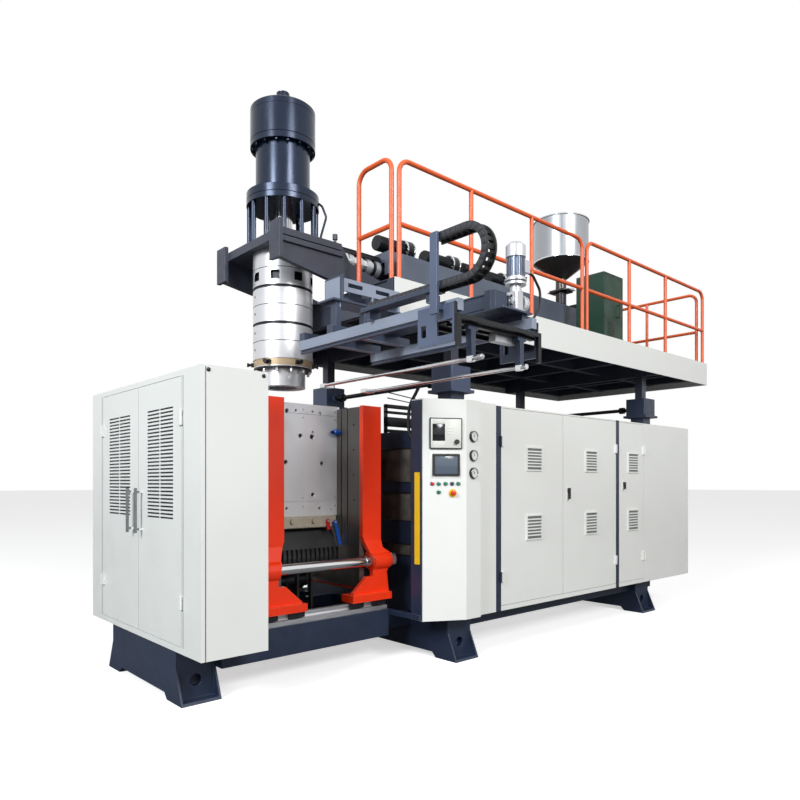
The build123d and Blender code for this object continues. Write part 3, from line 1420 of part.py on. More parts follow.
with BuildPart() as takeout_carriage:
    for side in (-1, 1):
        bar((side * plate_x[0], side * plate_x[1]), plate_y, plate_z)
        for span_y, span_z in plate_windows:
            bar((side * (plate_x[0] - 1), side * (plate_x[1] + 1)), span_y, span_z, mode=Mode.SUBTRACT)
        for y in (plate_y[0] + 20, plate_y[1] - 80):
            block = (side * (runner_x[0] - hook_width), side * plate_x[0])
            block_y = (y, y + hook_length)
            bar(block, block_y, (runner_z[0] - 28, runner_z[1] + hook_lap))
            head = (side * (runner_x[0] - seat_gap), side * (runner_x[1] + seat_gap))
            bar(head, block_y, (runner_z[0] - seat_gap, runner_z[1] + seat_gap), mode=Mode.SUBTRACT)
            neck = (side * (runner_x[0] + runner_neck - 1), side * (runner_x[1] - runner_neck + 1))
            bar(neck, block_y, (runner_z[1], runner_z[1] + hook_lap + 1), mode=Mode.SUBTRACT)
        bar((side * rim_leg_x[0], side * rim_leg_x[1]), (rim_y[0], plate_y[0]), (rim_leg_low, rim_z[1]))
    bar(both(plate_x[1]), rim_y, rim_z)
    bar(both(runner_x[0] - hook_width), roof_y, roof_z)
    bar(both(plate_x[0]), jaw_rail_y, jaw_rail_z)
    bar(*jaw_cylinder)
    for x in (jaw_cylinder[0][0] + 15, jaw_cylinder[0][1] - 45):
        bar((x, x + 30), jaw_cylinder[1], (jaw_cylinder[2][1], roof_z[0]))
    for y in (-2360, -2240):
        bar(both(runner_x[0] - hook_width), (y, y + 20), (roof_z[0] - 24, roof_z[0]))
    bar((chain_post_x[0], -plate_x[1]), chain_post_y, (2570, 2600))
    bar(chain_post_x, chain_post_y, chain_post_z)

keep(takeout_carriage.part, "takeout_carriage")

# Energy chain, bent over from the carriage's post into the trough: side plates and cross bars
chain_x = (-438.0, -354.0)
chain_side = 12.0
chain_outer = 166.0
chain_thick = 44.0
chain_pitch = 46.0
chain_bar = 14.0
chain_low = trough_z[0] + trough_wall + 2
chain_centre = (chain_outer - reach_front, chain_low + chain_outer)
chain_top = chain_low + 2 * chain_outer
chain_ends = (chain_post_y[1], trough_y[1] - 60)
chain_middle = chain_outer - chain_thick / 2


def chain_band(start, width):
    """Band of the chain's outline: the bend and the two straight runs behind it."""
    with BuildSketch(facing_right(start)) as bend:
        with Locations(chain_centre):
            Circle(chain_outer)
            Circle(chain_outer - chain_thick, mode=Mode.SUBTRACT)
            with Locations((chain_outer, 0)):
                Rectangle(2 * chain_outer, 2 * chain_outer, mode=Mode.SUBTRACT)
    extrude(bend.sketch, amount=width)
    span = (start, start + width)
    bar(span, (chain_centre[0], chain_ends[0]), (chain_top - chain_thick, chain_top))
    bar(span, (chain_centre[0], chain_ends[1]), (chain_low, chain_low + chain_thick))


with BuildPart() as cable_chain:
    chain_band(chain_x[0], chain_side)
    chain_band(chain_x[1] - chain_side, chain_side)
    inside = (chain_x[0] + chain_side, chain_x[1] - chain_side)
    for z in (chain_low + chain_thick / 2, chain_top - chain_thick / 2):
        run_end = chain_ends[1] if z < chain_centre[1] else chain_ends[0]
        bars = int((run_end - chain_centre[0] - chain_bar) / chain_pitch)
        for index in range(bars + 1):
            y = chain_centre[0] + index * chain_pitch
            bar(inside, (y, y + 2 * chain_bar), (z - chain_bar / 2, z + chain_bar / 2))
    with BuildSketch(facing_right(inside[0])):
        with Locations(chain_centre):
            with PolarLocations(chain_middle, 9, start_angle=106, angular_range=148, endpoint=True):
                Rectangle(chain_bar, 2 * chain_bar)
    extrude(amount=inside[1] - inside[0])
    lug_y = (chain_post_y[0] + 6, chain_post_y[1] - 12)
    bar((chain_post_x[1], chain_x[0]), lug_y, (chain_top - chain_thick, chain_top))

keep(cable_chain.part, "cable_chain")

# Gearmotor on the drive plate, and the wheel on its shaft
gear_x = (275.0, 350.0)
gear_y = (-2395.0, -2270.0)
gear_z = (2700.0, 2816.0)
gear_shaft = 14.0
gear_axis = (-2332.0, 2757.0)
gear_collar = 28.0
motor_centre = (330.0, -2345.0)
motor_steps = (
    (2816.0, 2868.0, 38.0),
    (2868.0, 2882.0, 70.0),
    (2882.0, 2922.0, 58.0),
    (2922.0, 3052.0, 54.0),
)
motor_fins = 24
motor_fin_radius = 62.0
cowl_z = (3052.0, 3128.0)
cowl_radius = 67.0
cowl_dome = 22.0
terminal_box = ((380.0, 436.0), (-2385.0, -2305.0), (2962.0, 3044.0))
lead_radius = 9.0
lead_path = [
    (436.0, 2985.0),
    (520.0, 2975.0),
    (600.0, 2890.0),
    (606.0, 2780.0),
    (520.0, 2674.0),
    (400.0, 2674.0),
]
lead_bends = (60.0, 70.0, 75.0, 60.0)
wheel_x = (372.0, 420.0)
wheel_radius = 60.0

with BuildPart() as gearmotor:
    bar(
        (drive_head_x[1], gear_x[1]),
        (gear_y[0] - 15, gear_y[1] + 15),
        (drive_plate[2][1], drive_plate[2][1] + 14),
    )
    bar((gear_x[0] + 8, gear_x[1] - 8), (gear_y[0] + 15, gear_y[1] - 15), (drive_plate[2][1] + 14, gear_z[0]))
    with BuildSketch(level(gear_z[0])):
        with Locations((sum(gear_x) / 2, sum(gear_y) / 2)):
            RectangleRounded(gear_x[1] - gear_x[0], gear_y[1] - gear_y[0], 10)
    extrude(amount=gear_z[1] - gear_z[0])
    for low, high, radius in motor_steps:
        round_bar(level(low), [motor_centre], radius, high - low)
    with BuildSketch(level(motor_steps[-1][0] + 6)):
        with Locations(motor_centre):
            with PolarLocations(motor_fin_radius - 7, motor_fins):
                Rectangle(14, 4)
    extrude(amount=motor_steps[-1][1] - motor_steps[-1][0] - 6)
    round_bar(level(cowl_z[0]), [motor_centre], cowl_radius, cowl_z[1] - cowl_z[0])
    with BuildSketch(level(cowl_z[1])):
        with Locations(motor_centre):
            Circle(cowl_radius)
    extrude(amount=cowl_dome, taper=45)
    bar(*terminal_box)
    round_bar(facing_right(drive_head_x[1]), [gear_axis], gear_shaft, wheel_x[1] + 8 - drive_head_x[1])
    round_bar(facing_right(gear_x[0] - 10), [gear_axis], gear_collar, 10)
    with BuildLine(facing_front(motor_centre[1])) as lead:
        FilletPolyline(*lead_path, radius=lead_bends)
    with BuildSketch(Plane(origin=lead.line @ 0, z_dir=lead.line % 0)) as lead_section:
        Circle(lead_radius)
    sweep(lead_section.sketch, path=lead.line)

keep(gearmotor.part, "gearmotor")

with BuildPart() as drive_wheel:
    round_bar(facing_right(wheel_x[0]), [gear_axis], wheel_radius, 8)
    round_bar(facing_right(wheel_x[0] + 8), [gear_axis], wheel_radius - 8, wheel_x[1] - wheel_x[0] - 16)
    round_bar(facing_right(wheel_x[1] - 8), [gear_axis], wheel_radius, 8)
    bore = gear_shaft + running_gap
    round_bar(facing_right(wheel_x[0] - 1), [gear_axis], bore, 60, mode=Mode.SUBTRACT)

keep(drive_wheel.part, "drive_wheel")

# Grippers that hang from the jaw rail and reach in over the mould
jaw_rod = 12.0
jaw_rod_z = 2298.0
jaw_reach = (-900.0, -2500.0)
jaw_post_half = 22.0
jaw_pad_reach = 77.0
jaw_collar = 18.0

for hand, name, jaw_x in ((-1, "gripper_left", -225.0), (1, "gripper_right", 245.0)):
    with BuildPart() as gripper:
        post_y = (jaw_rail_y[0] - 4, jaw_rail_y[1] + 4)
        hanging = jaw_rail_z[0] - slide_gap
        post = [
            (jaw_x - jaw_post_half, hanging),
            (jaw_x - jaw_post_half + 8, jaw_rod_z - 20),
            (jaw_x + jaw_post_half - 6, jaw_rod_z - 20),
            (jaw_x + jaw_post_half, hanging),
        ]
        profile(facing_front(post_y[1]), post, post_y[1] - post_y[0])
        bar((jaw_x - 42, jaw_x + 42), post_y, (hanging - 22, hanging))
        round_bar(facing_front(jaw_reach[0]), [(jaw_x, jaw_rod_z)], jaw_rod, jaw_reach[0] - jaw_reach[1])
        round_bar(facing_front(jaw_reach[1] + 20), [(jaw_x, jaw_rod_z)], jaw_collar, 20)
        pad = sorted((jaw_x + hand * jaw_rod, jaw_x - hand * jaw_pad_reach))
        bar(pad, (jaw_reach[0] - 60, jaw_reach[0]), (jaw_rod_z - 14, jaw_rod_z + 14))
    keep(gripper.part, name)
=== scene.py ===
import math

import bmesh
import bpy
from mathutils import Matrix, Vector


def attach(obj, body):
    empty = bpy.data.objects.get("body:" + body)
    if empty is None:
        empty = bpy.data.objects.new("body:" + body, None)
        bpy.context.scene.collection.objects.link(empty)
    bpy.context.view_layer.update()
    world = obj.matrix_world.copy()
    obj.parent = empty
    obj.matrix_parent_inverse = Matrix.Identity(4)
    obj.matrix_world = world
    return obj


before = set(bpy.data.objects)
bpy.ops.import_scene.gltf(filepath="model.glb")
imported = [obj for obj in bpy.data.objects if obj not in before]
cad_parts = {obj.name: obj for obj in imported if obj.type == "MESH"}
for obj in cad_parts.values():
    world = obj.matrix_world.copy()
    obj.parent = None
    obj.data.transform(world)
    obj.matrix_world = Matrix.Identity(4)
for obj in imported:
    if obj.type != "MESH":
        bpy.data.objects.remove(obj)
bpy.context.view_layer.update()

# Places below are in millimetres from the die axis, as in the part's source.
# X runs along the machine, Y across it, Z up from the floor.
AXIS = Vector((-2.325, 0.7725, 0.0))
CREASE = math.radians(32)


def at(x, y, z):
    """A place in millimetres from the die axis, as metres in the part's frame."""
    return AXIS + Vector((x, y, z)) / 1000


def linear(code):
    """A colour written as six hex digits, in linear light."""
    parts = [int(code[i:i + 2], 16) / 255 for i in (0, 2, 4)]
    return tuple(p / 12.92 if p < 0.04045 else ((p + 0.055) / 1.055) ** 2.4 for p in parts) + (1.0,)


# Materials

def noise(tree, scale, detail=4.0, stretch=(1, 1, 1)):
    """Noise over the object's own coordinates, in metres."""
    place = tree.nodes.new("ShaderNodeTexCoord")
    mapping = tree.nodes.new("ShaderNodeMapping")
    mapping.inputs["Scale"].default_value = stretch
    tree.links.new(place.outputs["Object"], mapping.inputs["Vector"])
    texture = tree.nodes.new("ShaderNodeTexNoise")
    texture.inputs["Scale"].default_value = scale
    texture.inputs["Detail"].default_value = detail
    tree.links.new(mapping.outputs["Vector"], texture.inputs["Vector"])
    return texture.outputs["Fac"]


def spread(tree, value, low, high, first=0.3, last=0.7):
    """A value between first and last mapped onto the range from low to high."""
    node = tree.nodes.new("ShaderNodeMapRange")
    for name, limit in (("From Min", first), ("From Max", last), ("To Min", low), ("To Max", high)):
        node.inputs[name].default_value = limit
    tree.links.new(value, node.inputs["Value"])
    return node.outputs["Result"]


def blend(tree, factor, first, second, kind="RGBA"):
    """Mix of two sockets or constants."""
    node = tree.nodes.new("ShaderNodeMix")
    node.data_type = kind
    for name, value in (("A", first), ("B", second)):
        socket = [i for i in node.inputs if i.name == name and i.enabled][0]
        if isinstance(value, bpy.types.NodeSocket):
            tree.links.new(value, socket)
        else:
            socket.default_value = value
    tree.links.new(factor, node.inputs["Factor"])
    return [o for o in node.outputs if o.enabled][0]


def look(colour, metal=0.0, rough=0.4, blotch=0.06, scale=3.0, stretch=(1, 1, 1), rubbed_lit_edge_colour=None, uneven=0.08):
    """One finish: colour, metal, roughness, and how much they vary over how wide a patch."""
    return dict(
        colour=colour, metal=metal, rough=rough, blotch=blotch, scale=scale, stretch=stretch, rubbed_lit_edge_colour=rubbed_lit_edge_colour,
        uneven=uneven,
    )


def colour_and_gloss(tree, finish, rubbed_lit_edges):
    """The colour and roughness sockets of a look."""
    base = linear(finish["colour"])
    dark = tuple(c * (1 - finish["blotch"]) for c in base[:3]) + (1.0,)
    light = tuple(min(1.0, c * (1 + finish["blotch"])) for c in base[:3]) + (1.0,)
    mottle = spread(tree, noise(tree, finish["scale"], 6.0, finish["stretch"]), 0.0, 1.0)
    tint = blend(tree, mottle, dark, light)
    # Painted highlight and edge wear: rounded edges drift toward a lighter tint of the paint.
    if finish["rubbed_lit_edge_colour"]:
        tint = blend(tree, rubbed_lit_edges, tint, linear(finish["rubbed_lit_edge_colour"]))
    low, high = finish["rough"] - finish["uneven"], finish["rough"] + finish["uneven"]
    gloss = spread(tree, noise(tree, finish["scale"] * 4, 5.0, finish["stretch"]), low, high)
    return tint, gloss


def inside(tree, box):
    """1 inside a box given in millimetres from the die axis, 0 outside it. None leaves a side open.
    A fourth range is the distance from the die axis."""
    place = tree.nodes.new("ShaderNodeTexCoord")
    split = tree.nodes.new("ShaderNodeSeparateXYZ")
    tree.links.new(place.outputs["Object"], split.inputs["Vector"])
    sources = list(split.outputs)
    if len(box) == 4:
        flat = tree.nodes.new("ShaderNodeVectorMath")
        flat.operation = "MULTIPLY_ADD"
        flat.inputs[1].default_value = (1, 1, 0)
        flat.inputs[2].default_value = tuple(-c for c in AXIS)
        tree.links.new(place.outputs["Object"], flat.inputs[0])
        reach = tree.nodes.new("ShaderNodeVectorMath")
        reach.operation = "LENGTH"
        tree.links.new(flat.outputs["Vector"], reach.inputs[0])
        sources.append(reach.outputs["Value"])
    result = None
    for axis, span in enumerate(box):
        if span is None:
            continue
        node = tree.nodes.new("ShaderNodeMath")
        node.operation = "COMPARE"
        middle = (span[0] + span[1]) / 2
        node.inputs[1].default_value = at(middle, middle, middle)[axis] if axis < 3 else middle / 1000
        node.inputs[2].default_value = (span[1] - span[0]) / 2000
        tree.links.new(sources[axis], node.inputs[0])
        if result is None:
            result = node.outputs["Value"]
            continue
        both = tree.nodes.new("ShaderNodeMath")
        both.operation = "MULTIPLY"
        tree.links.new(result, both.inputs[0])
        tree.links.new(node.outputs["Value"], both.inputs[1])
        result = both.outputs["Value"]
    return result


def surface(name, finish, patches=(), grain=0.15, grain_scale=400.0, edge=0.0025, coat=0.0):
    """A material from a look, with fine grain and softened edges, and other looks inside boxes."""
    material = bpy.data.materials.new(name)
    material.use_nodes = True
    tree = material.node_tree
    shader = tree.nodes["Principled BSDF"]
    soft = tree.nodes.new("ShaderNodeBevel")
    soft.samples = 4
    soft.inputs["Radius"].default_value = edge
    bump = tree.nodes.new("ShaderNodeBump")
    bump.inputs["Strength"].default_value = grain
    bump.inputs["Distance"].default_value = 0.0006
    tree.links.new(noise(tree, grain_scale, 3.0, finish["stretch"]), bump.inputs["Height"])
    tree.links.new(soft.outputs["Normal"], bump.inputs["Normal"])
    tree.links.new(bump.outputs["Normal"], shader.inputs["Normal"])
    rubbed_lit_edges = None
    # Painted highlight and edge wear: the mask rises where the softened edge normal turns from the face's own
    # normal.
    if any(each["rubbed_lit_edge_colour"] for each in [finish] + [patch[0] for patch in patches]):
        facing = tree.nodes.new("ShaderNodeNewGeometry")
        turn = tree.nodes.new("ShaderNodeVectorMath")
        turn.operation = "DOT_PRODUCT"
        tree.links.new(soft.outputs["Normal"], turn.inputs[0])
        tree.links.new(facing.outputs["Normal"], turn.inputs[1])
        rubbed_lit_edges = spread(tree, turn.outputs["Value"], 0.0, 0.55, 0.995, 0.90)
    tint, gloss = colour_and_gloss(tree, finish, rubbed_lit_edges)
    metal = finish["metal"]
    for other, boxes in patches:
        other_tint, other_gloss = colour_and_gloss(tree, other, rubbed_lit_edges)
        for box in boxes:
            mask = inside(tree, box)
            tint = blend(tree, mask, tint, other_tint)
            gloss = blend(tree, mask, gloss, other_gloss, "FLOAT")
            if isinstance(metal, bpy.types.NodeSocket) or metal != other["metal"]:
                metal = blend(tree, mask, metal, other["metal"], "FLOAT")
    if isinstance(metal, bpy.types.NodeSocket):
        tree.links.new(metal, shader.inputs["Metallic"])
    else:
        shader.inputs["Metallic"].default_value = metal
    shader.inputs["Coat Weight"].default_value = coat
    shader.inputs["Coat Roughness"].default_value = 0.12
    tree.links.new(tint, shader.inputs["Base Color"])
    tree.links.new(gloss, shader.inputs["Roughness"])
    return material


WHITE = look("EBECE8", rough=0.38, blotch=0.02, scale=1.2)
SLATE = look("232E44", rough=0.40, blotch=0.10, rubbed_lit_edge_colour="66748E")
ORANGE = look("F63502", rough=0.36, blotch=0.05, rubbed_lit_edge_colour="FF8A4A")
RAIL_ORANGE = look("EA6430", rough=0.36, blotch=0.05)
STEEL = look("BFC0C3", metal=0.85, rough=0.40, blotch=0.10, scale=2.5, stretch=(1, 1, 6))
CAST = look("DADADD", metal=0.45, rough=0.42, blotch=0.07, scale=2.0)
BEAM_STEEL = look("6E6A66", metal=0.8, rough=0.42, blotch=0.25, scale=2.0, stretch=(1, 1, 0.35))
CHROME = look("D8DADC", metal=1.0, rough=0.12, blotch=0.03, uneven=0.03)
GUNMETAL = look("1B273C", metal=0.45, rough=0.24, blotch=0.12, stretch=(1, 1, 0.3))
CARRIAGE = look("353A48", rough=0.45, blotch=0.10, rubbed_lit_edge_colour="7C859C")
# Painted light: a pale grey-blue that stands for dark slate paint lit from the left.
LEFT_LIT_GREY_BLUE = look("8F98AA", rough=0.40, blotch=0.08, rubbed_lit_edge_colour="C4CAD6")
DARK_SLATE = look("3A4458", metal=0.25, rough=0.36, blotch=0.14, rubbed_lit_edge_colour="8893A8")
BLACK = look("141517", rough=0.45, blotch=0.15)
BLACK_METAL = look("16181D", metal=0.3, rough=0.40, blotch=0.2)
SILVER = look("D6D7DA", metal=0.6, rough=0.34, blotch=0.03, scale=1.5, stretch=(1, 1, 50), uneven=0.03)
ALUMINIUM = look("C9CBCF", metal=0.7, rough=0.34, blotch=0.05)
TAN = look("BFA987", metal=0.35, rough=0.42, blotch=0.08)
RED = look("C6161B", rough=0.30, blotch=0.04)
BLUE = look("1A4FA8", rough=0.32, blotch=0.06)
GREEN = look("12805A", rough=0.30, blotch=0.04)
YELLOW = look("F4C21A", rough=0.40, blotch=0.04)
DARK_GREEN = look("0A3A28", rough=0.42, blotch=0.07, rubbed_lit_edge_colour="3C7A60")
IVORY = look("E2E3DC", rough=0.42, blotch=0.02)
BEIGE = look("B3AA98", metal=0.3, rough=0.45, blotch=0.08)
GLASS = look("1D2022", rough=0.12, blotch=0.10)
SCREEN = look("5B6674", rough=0.16, blotch=0.06)
PANE = look("6F6A63", metal=0.2, rough=0.10, blotch=0.55, scale=5.0)

white = surface("panel_white", WHITE, grain=0.10, grain_scale=700, edge=0.002)
slate = surface("base_slate", SLATE, grain=0.18, edge=0.004)
BEARING_BLOCKS = (None, None, (0, 534.5))
platen_orange = surface(
    "platen_orange", ORANGE, [(BLACK_METAL, [BEARING_BLOCKS])], grain=0.12, edge=0.005, coat=0.2,
)
rail_orange = surface("rail_orange", RAIL_ORANGE, grain=0.10, edge=0.001)
steel = surface("machined_steel", STEEL, grain=0.2)
chrome = surface("chromed_bar", CHROME, grain=0.03, edge=0.001)
gunmetal = surface("gunmetal", GUNMETAL, grain=0.08, edge=0.003)
carriage = surface("carriage_grey", CARRIAGE, grain=0.2, edge=0.004)
BEAM_BLUE = look("5F6878", metal=0.2, rough=0.40, blotch=0.16, rubbed_lit_edge_colour="A9B2C2")
grey_blue = surface("beam_grey_blue", BEAM_BLUE, grain=0.2, edge=0.003)
black = surface("black_plastic", BLACK, grain=0.25, edge=0.001)
black_metal = surface("black_metal", BLACK_METAL, grain=0.2, edge=0.002)
# Painted shade: everything sunk below the head's outer skin, in its grooves and windows, is dark metal.
HEAD_POCKET_SHADE = (None, None, (2700, 3540), (100, 262.4))
silver = surface("head_silver", SILVER, [(BLACK_METAL, [HEAD_POCKET_SHADE])], grain=0.03, edge=0.002)
aluminium = surface("aluminium", ALUMINIUM, grain=0.2, edge=0.002)
red = surface("signal_red", RED, grain=0.05, coat=0.3, edge=0.001)
blue = surface("signal_blue", BLUE, grain=0.06, coat=0.2, edge=0.001)
green = surface("signal_green", GREEN, grain=0.05, coat=0.3, edge=0.001)

# Parts of one node that carry another finish, as boxes in millimetres from the die axis
vent_doors = surface(
    "vent_doors", WHITE,
    [(look("8C8F92", metal=0.7, rough=0.35, blotch=0.08), [((-1351, -1315), (-110, 110), None)])],
    grain=0.10, edge=0.002,
)
panel_parts = surface("panel_parts", BLACK, [(YELLOW, [((850, 940), None, (1428, 1502))])], edge=0.001)
bank_posts = [(x, (-1300, -1209), None) for x in ((1452, 1523.5), (3528.5, 3593))]
bank = surface("bank", WHITE, [(SLATE, bank_posts)], grain=0.10, edge=0.002)
guard = surface(
    "guard", SLATE, [(YELLOW, [((630, 653), (-1087, -1041), (864, 1641))])], grain=0.18, edge=0.003,
)
mould_finish = surface("mould_finish", CAST, [(BEIGE, [(None, (-400, -257), (1160, 1262))])], grain=0.2)
# Painted shade: dark metal in a band under the tan ring and outside its rim, where the ring and head cast
# shadow.
die_finish = surface("die_finish", SILVER, [
    (TAN, [(None, None, (2568, 2630))]),
    (BLACK_METAL, [(None, None, (2544, 2560), (199, 300)), (None, None, (2565, 2630), (256.6, 400))]),
], grain=0.05, edge=0.002)
jack_finish = surface("jack_finish", look("3C4862", rough=0.42, blotch=0.12, rubbed_lit_edge_colour="7583A0"), [
    (SLATE, [(None, None, (0, 2366)), ((3000, 6000), None, None)]),
], grain=0.3, edge=0.003)
# Painted shade: dark metal on the carriage's front face and inside the housing under its top plate, where
# little light falls.
carriage_unit = surface("carriage_unit", look("56627A", metal=0.2, rough=0.36, blotch=0.10, rubbed_lit_edge_colour="A5AFC2"), [
    (BLACK_METAL, [((-385, 385), (-2510, -2100), (2480, 2535)), ((-410, 410), (-2510, -2469.5), None)]),
    (ALUMINIUM, [((39, 251), (-2414, -2356), (2446, 2504))]),
], grain=0.15, edge=0.003)
motor_finish = surface("motor_finish", ALUMINIUM, [
    (look("7A8494", metal=0.5, rough=0.34, blotch=0.1), [((250, 379), None, (2923, 3051))]),
    (BLACK, [((437, 700), None, None), ((388, 700), None, (2640, 2700))]),
], grain=0.2, edge=0.002)
barrel_finish = surface(
    "barrel_finish", CHROME, [(BLACK_METAL, [((1000, 5000), None, None)])], grain=0.05, edge=0.002,
)
hopper_finish = surface(
    "hopper_finish", look("A6A9AE", metal=0.85, rough=0.33, blotch=0.06, scale=1.2, stretch=(6, 6, 0.3)),
    [(look("4E4A47", metal=0.7, rough=0.3, blotch=0.25), [(None, None, (3900, 4470))])],
    grain=0.05, edge=0.001,
)

GRILLE_RIM = 14
grille_wells = [
    ((x0 + GRILLE_RIM, x1 - GRILLE_RIM), (-1254.5, -1252), (z0 + GRILLE_RIM, z1 - GRILLE_RIM))
    for x0, x1 in ((1894, 2143), (2905, 3138), (3780, 4019))
    for z0, z1 in ((1005, 1247), (1665, 1895))
]
door_finish = surface(
    "door_white", WHITE, [(look("6E716F", rough=0.5), grille_wells)], grain=0.10, edge=0.002,
)
gripper_finish = surface(
    "gripper_finish", CHROME, [(DARK_SLATE, [(None, (-2520, -2400), (2312, 2500))])], grain=0.08,
    edge=0.002,
)
# Painted light: the boxes turn the dark slate take-out frame grey-blue where its faces lit from the left look
# pale.
takeout_finish = surface("takeout_finish", DARK_SLATE, [
    (LEFT_LIT_GREY_BLUE, [((-313, 301), (-1255, -1076), (2828, 3046)), ((-500, 500), (-2480, -820), (2556, 2632)),
                 ((-463, -442), None, (2542, 3023))]),
], grain=0.15, edge=0.003)
# Painted shade: the fascia's left end face is dark metal, standing for the shadow on it.
fascia_finish = surface(
    "fascia_white", WHITE, [(BLACK_METAL, [((270, 286), (-1189, 1300), None)])], grain=0.10, edge=0.002,
)

finish_of = {
    "base_frame": slate, "lift_jacks": jack_finish, "lift_shaft_left": black_metal,
    "lift_shaft_right": black_metal, "guide_rails": steel, "left_platen": platen_orange,
    "right_platen": platen_orange, "left_platen_plate": surface("plate_steel", BEAM_STEEL, grain=0.2),
    "tie_bars": chrome, "clamp_rams": black_metal, "mould_left": mould_finish, "mould_right": mould_finish,
    "valve_lever_red": red, "valve_lever_blue": blue, "drop_chute": black, "left_cabinet": white,
    "vent_door_front": vent_doors, "vent_door_rear": vent_doors, "control_cabinet": white,
    "operator_panel": panel_parts, "push_button_1": red, "push_button_2": green, "push_button_3": green,
    "push_button_4": surface("dark_button", look("0E3B4A", rough=0.3), grain=0.05, edge=0.001),
    "push_button_5": green, "push_button_6": green,
    "emergency_stop": surface("stop_red", look("D0310F", rough=0.3), grain=0.05, edge=0.001, coat=0.3),
    "setting_knob": black, "electrical_cabinet": bank, "electrical_door_1": door_finish,
    "electrical_door_2": door_finish, "electrical_door_3": door_finish, "door_latch_2": black,
    "door_latch_3": black, "clamp_guard": guard, "platform_frame": carriage,
    "platform_fascia": fascia_finish, "handrails": rail_orange, "head_carriage": carriage,
    "accumulator_cylinder": gunmetal, "ram": chrome, "head_body": silver, "die": die_finish,
    "mandrel": gunmetal, "barrel": barrel_finish, "screw": steel, "extruder_beams": grey_blue,
    "blowers": black_metal, "extruder_drive": black_metal, "hopper": hopper_finish, "slide_gate": steel,
    "drive_cabinet": surface("drive_green", DARK_GREEN, grain=0.15, edge=0.003),
    "takeout_frame": takeout_finish, "takeout_carriage": carriage_unit, "cable_chain": black,
    "gearmotor": motor_finish,
    "drive_wheel": surface("belt_white", look("D9DBDE", rough=0.35, blotch=0.05), edge=0.001),
    "gripper_left": gripper_finish, "gripper_right": gripper_finish,
}
finish_of["right_platen_plate"] = finish_of["left_platen_plate"]
for name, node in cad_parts.items():
    node.data.materials.clear()
    node.data.materials.append(finish_of[name])
    for polygon in node.data.polygons:
        polygon.use_smooth = True
    split = node.modifiers.new("crease", "EDGE_SPLIT")
    split.split_angle = CREASE


# Pieces added to the frame. Each rides on the body that it is fixed to.

def piece(name, mesh, material, body, round_edges=0.0):
    """A finished mesh as a piece that rides on a body, its edges rounded by some millimetres."""
    obj = bpy.data.objects.new(name, mesh)
    bpy.context.scene.collection.objects.link(obj)
    mesh.materials.append(material)
    for polygon in mesh.polygons:
        polygon.use_smooth = True
    if round_edges:
        bevel = obj.modifiers.new("round", "BEVEL")
        bevel.width = round_edges / 1000
        bevel.segments = 2
        bevel.limit_method = "ANGLE"
    split = obj.modifiers.new("crease", "EDGE_SPLIT")
    split.split_angle = CREASE
    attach(obj, body)
    return obj


def panel_place(a, z, out):
    """A place on the slanted operator's panel: along it, up, and out of it."""
    along = Vector((PANEL_STEP[0], PANEL_STEP[1], 0)).normalized()
    return at(*PANEL_START, z) + along * a / 1000 + Vector((along.y, -along.x, 0)) * out / 1000


PANEL_START = (665, -1110)
PANEL_STEP = (335, -190)


def blocks(name, spans, material, body, round_edges=1.0, place=at):
    """Rounded blocks, each from three ranges in millimetres."""
    bm = bmesh.new()
    for first, second, third in spans:
        corners = [bm.verts.new(place(i, j, k)) for i in first for j in second for k in third]
        for ring in ((0, 1, 3, 2), (4, 6, 7, 5), (0, 4, 5, 1), (2, 3, 7, 6), (0, 2, 6, 4), (1, 5, 7, 3)):
            bm.faces.new([corners[i] for i in ring])
    bmesh.ops.recalc_face_normals(bm, faces=bm.faces)
    mesh = bpy.data.meshes.new(name)
    bm.to_mesh(mesh)
    return piece(name, mesh, material, body, round_edges)


def turned(name, outline, places, direction, material, body, steps=28, round_edges=0.0):
    """Turned pieces: (radius, distance) pairs in millimetres, revolved about lines through the places."""
    bm = bmesh.new()
    direction = Vector(direction).normalized()
    side = direction.orthogonal().normalized()
    up = direction.cross(side)
    for place in places:
        rings = []
        for radius, along in outline:
            ring = []
            for step in range(steps):
                angle = 2 * math.pi * step / steps
                offset = (side * math.cos(angle) + up * math.sin(angle)) * radius + direction * along
                ring.append(bm.verts.new(place + offset / 1000))
            rings.append(ring)
        for low, high in zip(rings, rings[1:]):
            for i in range(steps):
                j = (i + 1) % steps
                bm.faces.new((low[i], low[j], high[j], high[i]))
        if outline[0] != outline[-1]:
            bm.faces.new(rings[0])
            bm.faces.new(rings[-1])
    bmesh.ops.remove_doubles(bm, verts=bm.verts, dist=1e-6)
    bmesh.ops.recalc_face_normals(bm, faces=bm.faces)
    mesh = bpy.data.meshes.new(name)
    bm.to_mesh(mesh)
    return piece(name, mesh, material, body, round_edges)


def hexagons(name, places, direction, size, height, material, body):
    """Hexagon screw heads with chamfered crowns on washers."""
    head = [(size * 1.25, 0), (size * 1.25, size * 0.15)]
    turned(name + "_washers", head, places, direction, material, body, 20)
    crown = [(size, size * 0.15), (size, height * 0.85), (size * 0.86, height), (0.1, height)]
    turned(name, crown, places, direction, material, body, 6)


def pipes(name, routes, radius, material, body):
    """Rigid pipes with rounded bends along routes in millimetres."""
    curve = bpy.data.curves.new(name, "CURVE")
    curve.dimensions = "3D"
    curve.bevel_depth = radius / 1000
    curve.bevel_resolution = 3
    curve.use_fill_caps = True
    for route in routes:
        spline = curve.splines.new("NURBS")
        spline.points.add(len(route) - 1)
        for point, place in zip(spline.points, route):
            point.co = (*at(*place), 1)
        spline.order_u = 3
        spline.use_endpoint_u = True
    curve.materials.append(material)
    obj = bpy.data.objects.new(name, curve)
    bpy.context.scene.collection.objects.link(obj)
    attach(obj, body)


